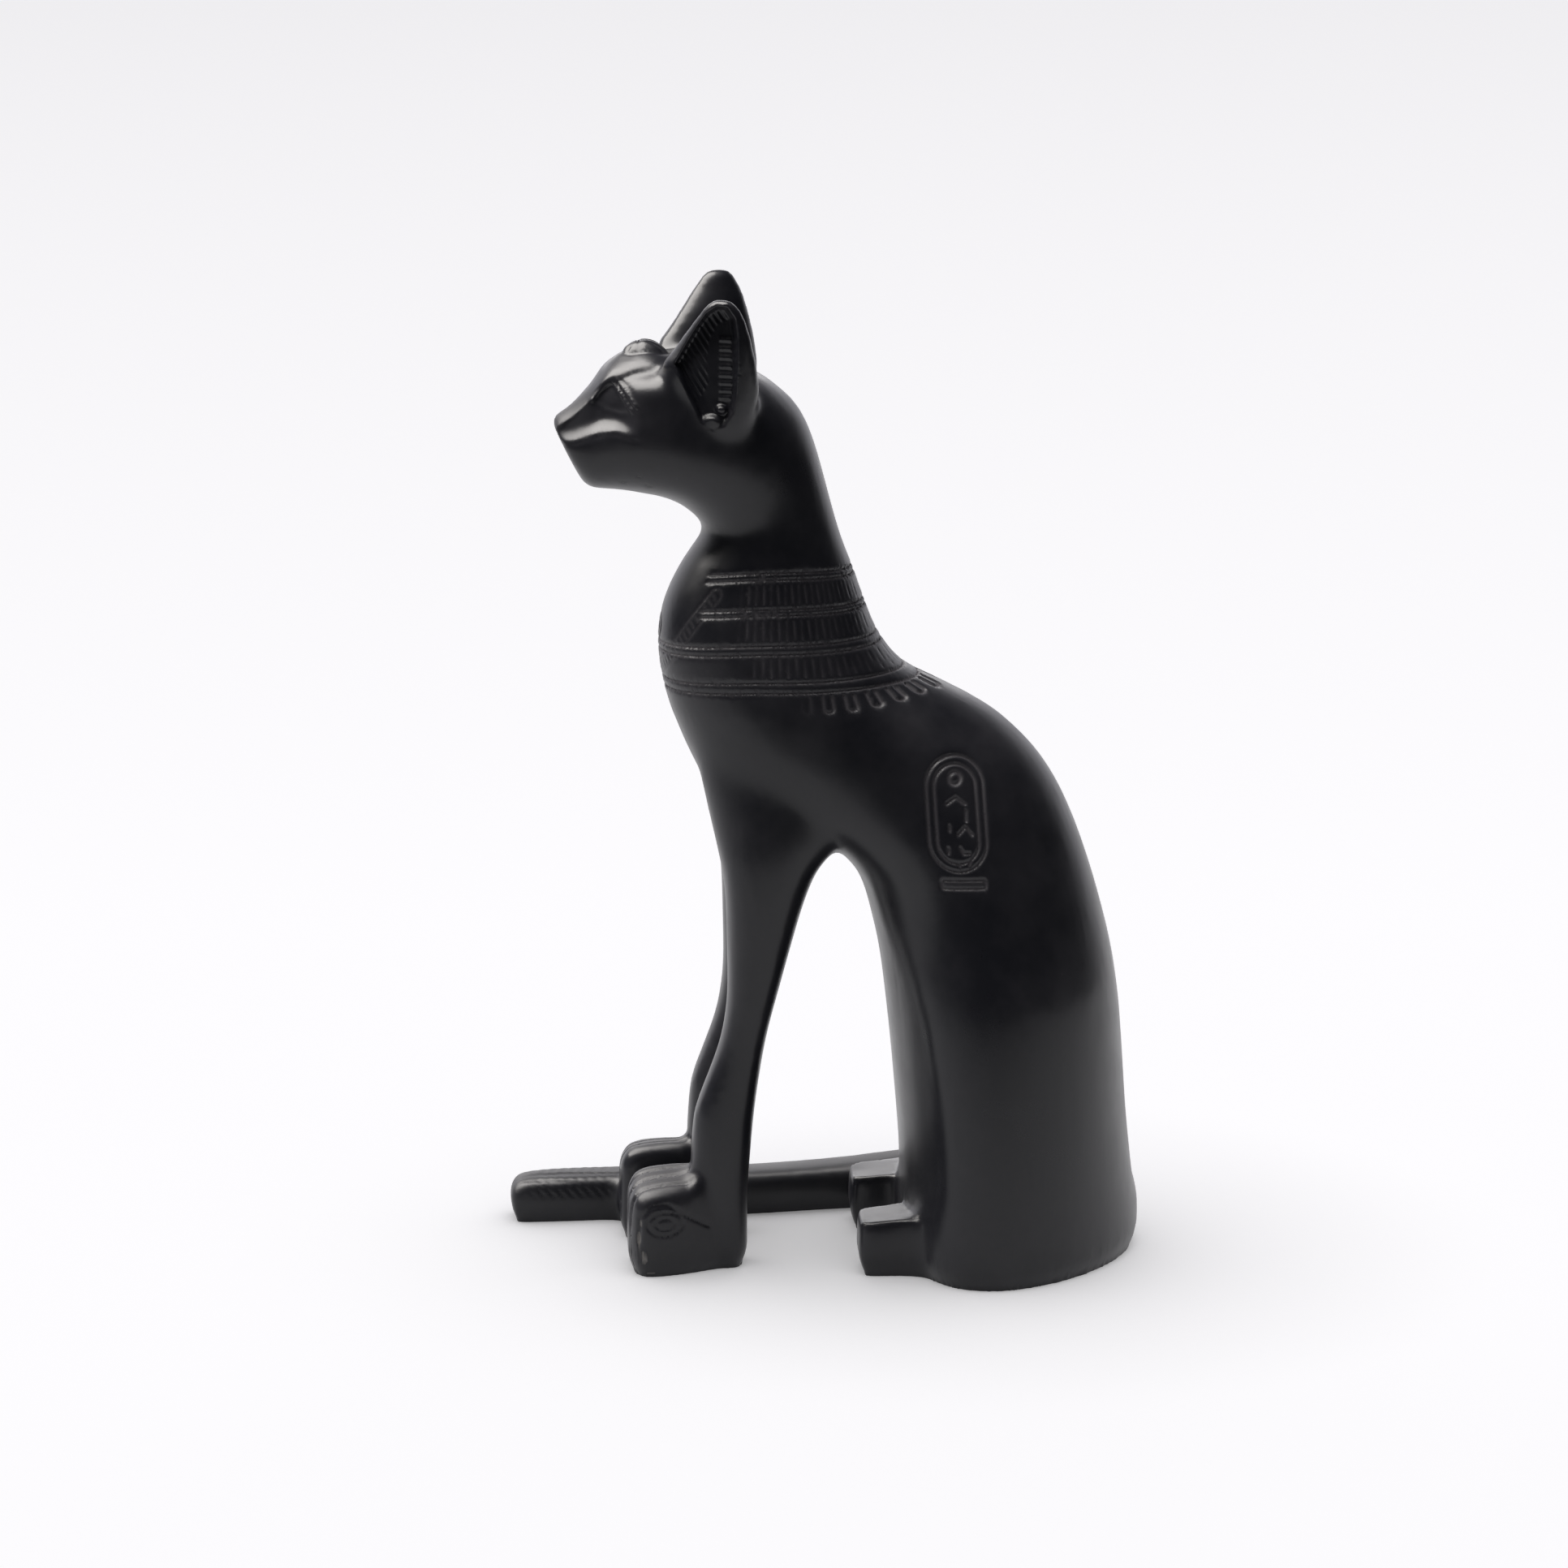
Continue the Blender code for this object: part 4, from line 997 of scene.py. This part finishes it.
# Everything under a level removed, and the opening closed flat.
def cutLevel(mesh, level):
    skin = bmesh.new()
    skin.from_mesh(mesh)
    parts = list(skin.verts) + list(skin.edges) + list(skin.faces)
    bmesh.ops.bisect_plane(skin, geom=parts, dist=1e-6, plane_co=(0, 0, level),
                           plane_no=(0, 0, 1), clear_inner=True)
    bmesh.ops.remove_doubles(skin, verts=skin.verts, dist=0.02)
    rim = [edge for edge in skin.edges if edge.is_boundary]
    bmesh.ops.holes_fill(skin, edges=rim, sides=0)
    bmesh.ops.triangulate(skin, faces=[face for face in skin.faces if len(face.verts) > 3])
    skin.to_mesh(mesh)
    skin.free()


# The limbs' rows up to the finished mesh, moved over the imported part.
def buildCat():
    points, faces = limbSkins()
    points, faces, pairs = fusedSkin(points, faces)
    print("limbs fused,", len(faces), "triangles")
    points = softened(points, faces, pairs)
    mesh = modified(meshOf(points, faces, "skin"), "DECIMATE", ratio=cat["keep"],
                    use_collapse_triangulate=True)  # fewest where the skin is flattest
    points = readArray(mesh.vertices, "co", np.float32, 3).astype(float)
    faces = readArray(mesh.loops, "vertex_index", np.int32, 1).reshape(-1, 3)
    for step in range(fineness["passes"]):
        points, faces, cuts = splitEdges(points, faces)
        print("pass", step, "split", cuts, "edges, now", len(faces), "triangles")
        if not cuts:
            break
    points, lines, worn = carve(points, faces)
    mesh = meshOf(points, faces, "catFigure")
    # cutLine marks the cut lines: the stone paints them paler there as a painted highlight, and
    # dulls them
    for name, values in (("cutLine", np.clip(lines / 0.3, 0, 1)), ("worn", worn)):
        mark = mesh.attributes.new(name, "FLOAT", "POINT")
        mark.data.foreach_set("value", values.astype(np.float32))
    cutLevel(mesh, 0.0)
    points = readArray(mesh.vertices, "co", np.float32, 3)
    points = (points - np.array([*cat["middle"], 0], np.float32)) * 0.001  # now in metres
    mesh.vertices.foreach_set("co", points.ravel())
    mesh.shade_smooth()
    edges = readArray(mesh.edges, "vertices", np.int32, 2)
    sharp = mesh.attributes.new("sharp_edge", "BOOLEAN", "EDGE")
    sharp.data.foreach_set("value", (points[edges, 2] < 1e-6).all(axis=1))
    mesh.update()
    figure = bpy.data.objects.new("catFigure", mesh)
    bpy.context.scene.collection.objects.link(figure)
    return figure


catFigure = buildCat()
hangLamps(catFigure)
print("figure carved,", len(catFigure.data.polygons), "triangles")

stone = {
    "deep": (0.0066, 0.0069, 0.0094),
    "light": (0.0150, 0.0148, 0.0180),
    # painted highlight: the pale colour the cut lines take, standing for light caught on their
    # edges
    "cut": (0.060, 0.056, 0.062),
    "pale": (0.115, 0.110, 0.105),
    "mottling": (0.40, 0.66),  # noise from which it is dark, and to which it is light
    "cutHighlightShare": 0.75,  # how much of its painted highlight colour a cut line takes
    "paleFrom": 0.62,  # wear that begins to show the paler cast
    "speckShare": 0.22,
    "roughness": (0.26, 0.38),
    "duller": 0.25,  # more roughness in cut lines and worn places
    "grain": 0.05,
    "ior": 1.42,
}


# An empty node group with its inputs, as name, kind and value, and its outputs.
def newGroup(name, inputs, outputs):
    group = bpy.data.node_groups.new(name, "ShaderNodeTree")
    for label, kind, value in inputs:
        socket = group.interface.new_socket(name=label, in_out="INPUT", socket_type=kind)
        if value is not None:
            socket.default_value = value
    for label, kind in outputs:
        group.interface.new_socket(name=label, in_out="OUTPUT", socket_type=kind)
    return group, group.nodes.new("NodeGroupInput"), group.nodes.new("NodeGroupOutput")


# Mottling and grain of cast stone: noise at three sizes over Object coordinates.
def castGrain():
    group, given, out = newGroup(
        "castGrain",
        [("Vector", "NodeSocketVector", None), ("Patch Size", "NodeSocketFloat", 60.0),
         ("Grain Size", "NodeSocketFloat", 1400.0)],
        [("Patches", "NodeSocketFloat"), ("Grain", "NodeSocketFloat"),
         ("Specks", "NodeSocketFloat")])
    place = given.outputs["Vector"]
    patches = addNode(group, "TexNoise", {"Detail": 6, "Roughness": 0.62},
                      {"Vector": place, "Scale": given.outputs["Patch Size"]})
    grain = addNode(group, "TexNoise", {"Detail": 3},
                    {"Vector": place, "Scale": given.outputs["Grain Size"]})
    cells = addNode(group, "TexVoronoi", {"Scale": 420}, {"Vector": place})
    speck = addNode(group, "MapRange", {"From Min": 0.12, "From Max": 0.04},
                    {"Value": cells.outputs["Distance"]})
    some = addNode(group, "MapRange", {"From Min": 0.60, "From Max": 0.72},
                   {"Value": patches.outputs["Fac"]})
    both = addNode(group, "Math", operation="MULTIPLY",
                   sources={0: speck.outputs["Result"], 1: some.outputs["Result"]})
    for label, source in (("Patches", patches.outputs["Fac"]), ("Grain", grain.outputs["Fac"]),
                          ("Specks", both.outputs[0])):
        group.links.new(source, out.inputs[label])
    return group


# Satin black with lighter mottling, cut lines painted paler as a painted highlight of the light
# on their edges, paler worn places, and dull grain.
def blackStone():
    material = bpy.data.materials.new("blackCastStone")
    material.use_nodes = True
    tree = material.node_tree
    shader = tree.nodes["Principled BSDF"]

    def mixed(factor, one, other):
        values = {"B": (*other, 1)}
        sources = {"Factor": factor}
        if isinstance(one, tuple):
            values["A"] = (*one, 1)
        else:
            sources["A"] = one
        return addNode(tree, "Mix", values, sources, data_type="RGBA").outputs["Result"]

    where = addNode(tree, "TexCoord")
    grain = addNode(tree, "Group", node_tree=castGrain())
    tree.links.new(where.outputs["Object"], grain.inputs["Vector"])
    patches = grain.outputs["Patches"]
    low, high = stone["mottling"]
    mottled = addNode(tree, "MapRange", {"From Min": low, "From Max": high},
                      {"Value": patches})
    colour = mixed(mottled.outputs["Result"], stone["deep"], stone["light"])
    mark = addNode(tree, "Attribute", attribute_name="cutLine").outputs["Fac"]
    worn = addNode(tree, "Attribute", attribute_name="worn").outputs["Fac"]
    # the cut lines painted paler, a painted highlight; cutLine also makes them duller below
    share = addNode(tree, "Math", {1: stone["cutHighlightShare"]}, {0: mark}, operation="MULTIPLY")
    colour = mixed(share.outputs[0], colour, stone["cut"])
    shows = addNode(tree, "MapRange", {"From Min": stone["paleFrom"]}, {"Value": worn})
    speck = addNode(tree, "Math", {1: stone["speckShare"]}, operation="MULTIPLY_ADD",
                    sources={0: grain.outputs["Specks"], 2: shows.outputs["Result"]})
    colour = mixed(speck.outputs[0], colour, stone["pale"])
    tree.links.new(colour, shader.inputs["Base Color"])
    low, high = stone["roughness"]
    rough = addNode(tree, "MapRange", {"From Min": 0.3, "From Max": 0.7, "To Min": low,
                                       "To Max": high}, {"Value": patches}).outputs["Result"]
    for source in (mark, worn):
        rough = addNode(tree, "Math", {1: stone["duller"]}, {0: source, 2: rough},
                        operation="MULTIPLY_ADD").outputs[0]
    tree.links.new(rough, shader.inputs["Roughness"])
    bumps = addNode(tree, "Bump", {"Strength": stone["grain"], "Distance": 0.0001},
                    {"Height": grain.outputs["Grain"]})
    tree.links.new(bumps.outputs["Normal"], shader.inputs["Normal"])
    shader.inputs["IOR"].default_value = stone["ior"]
    return material


catFigure.data.materials.append(blackStone())
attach(catFigure, "root")
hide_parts("bastet_cat")
print("stone finish applied")
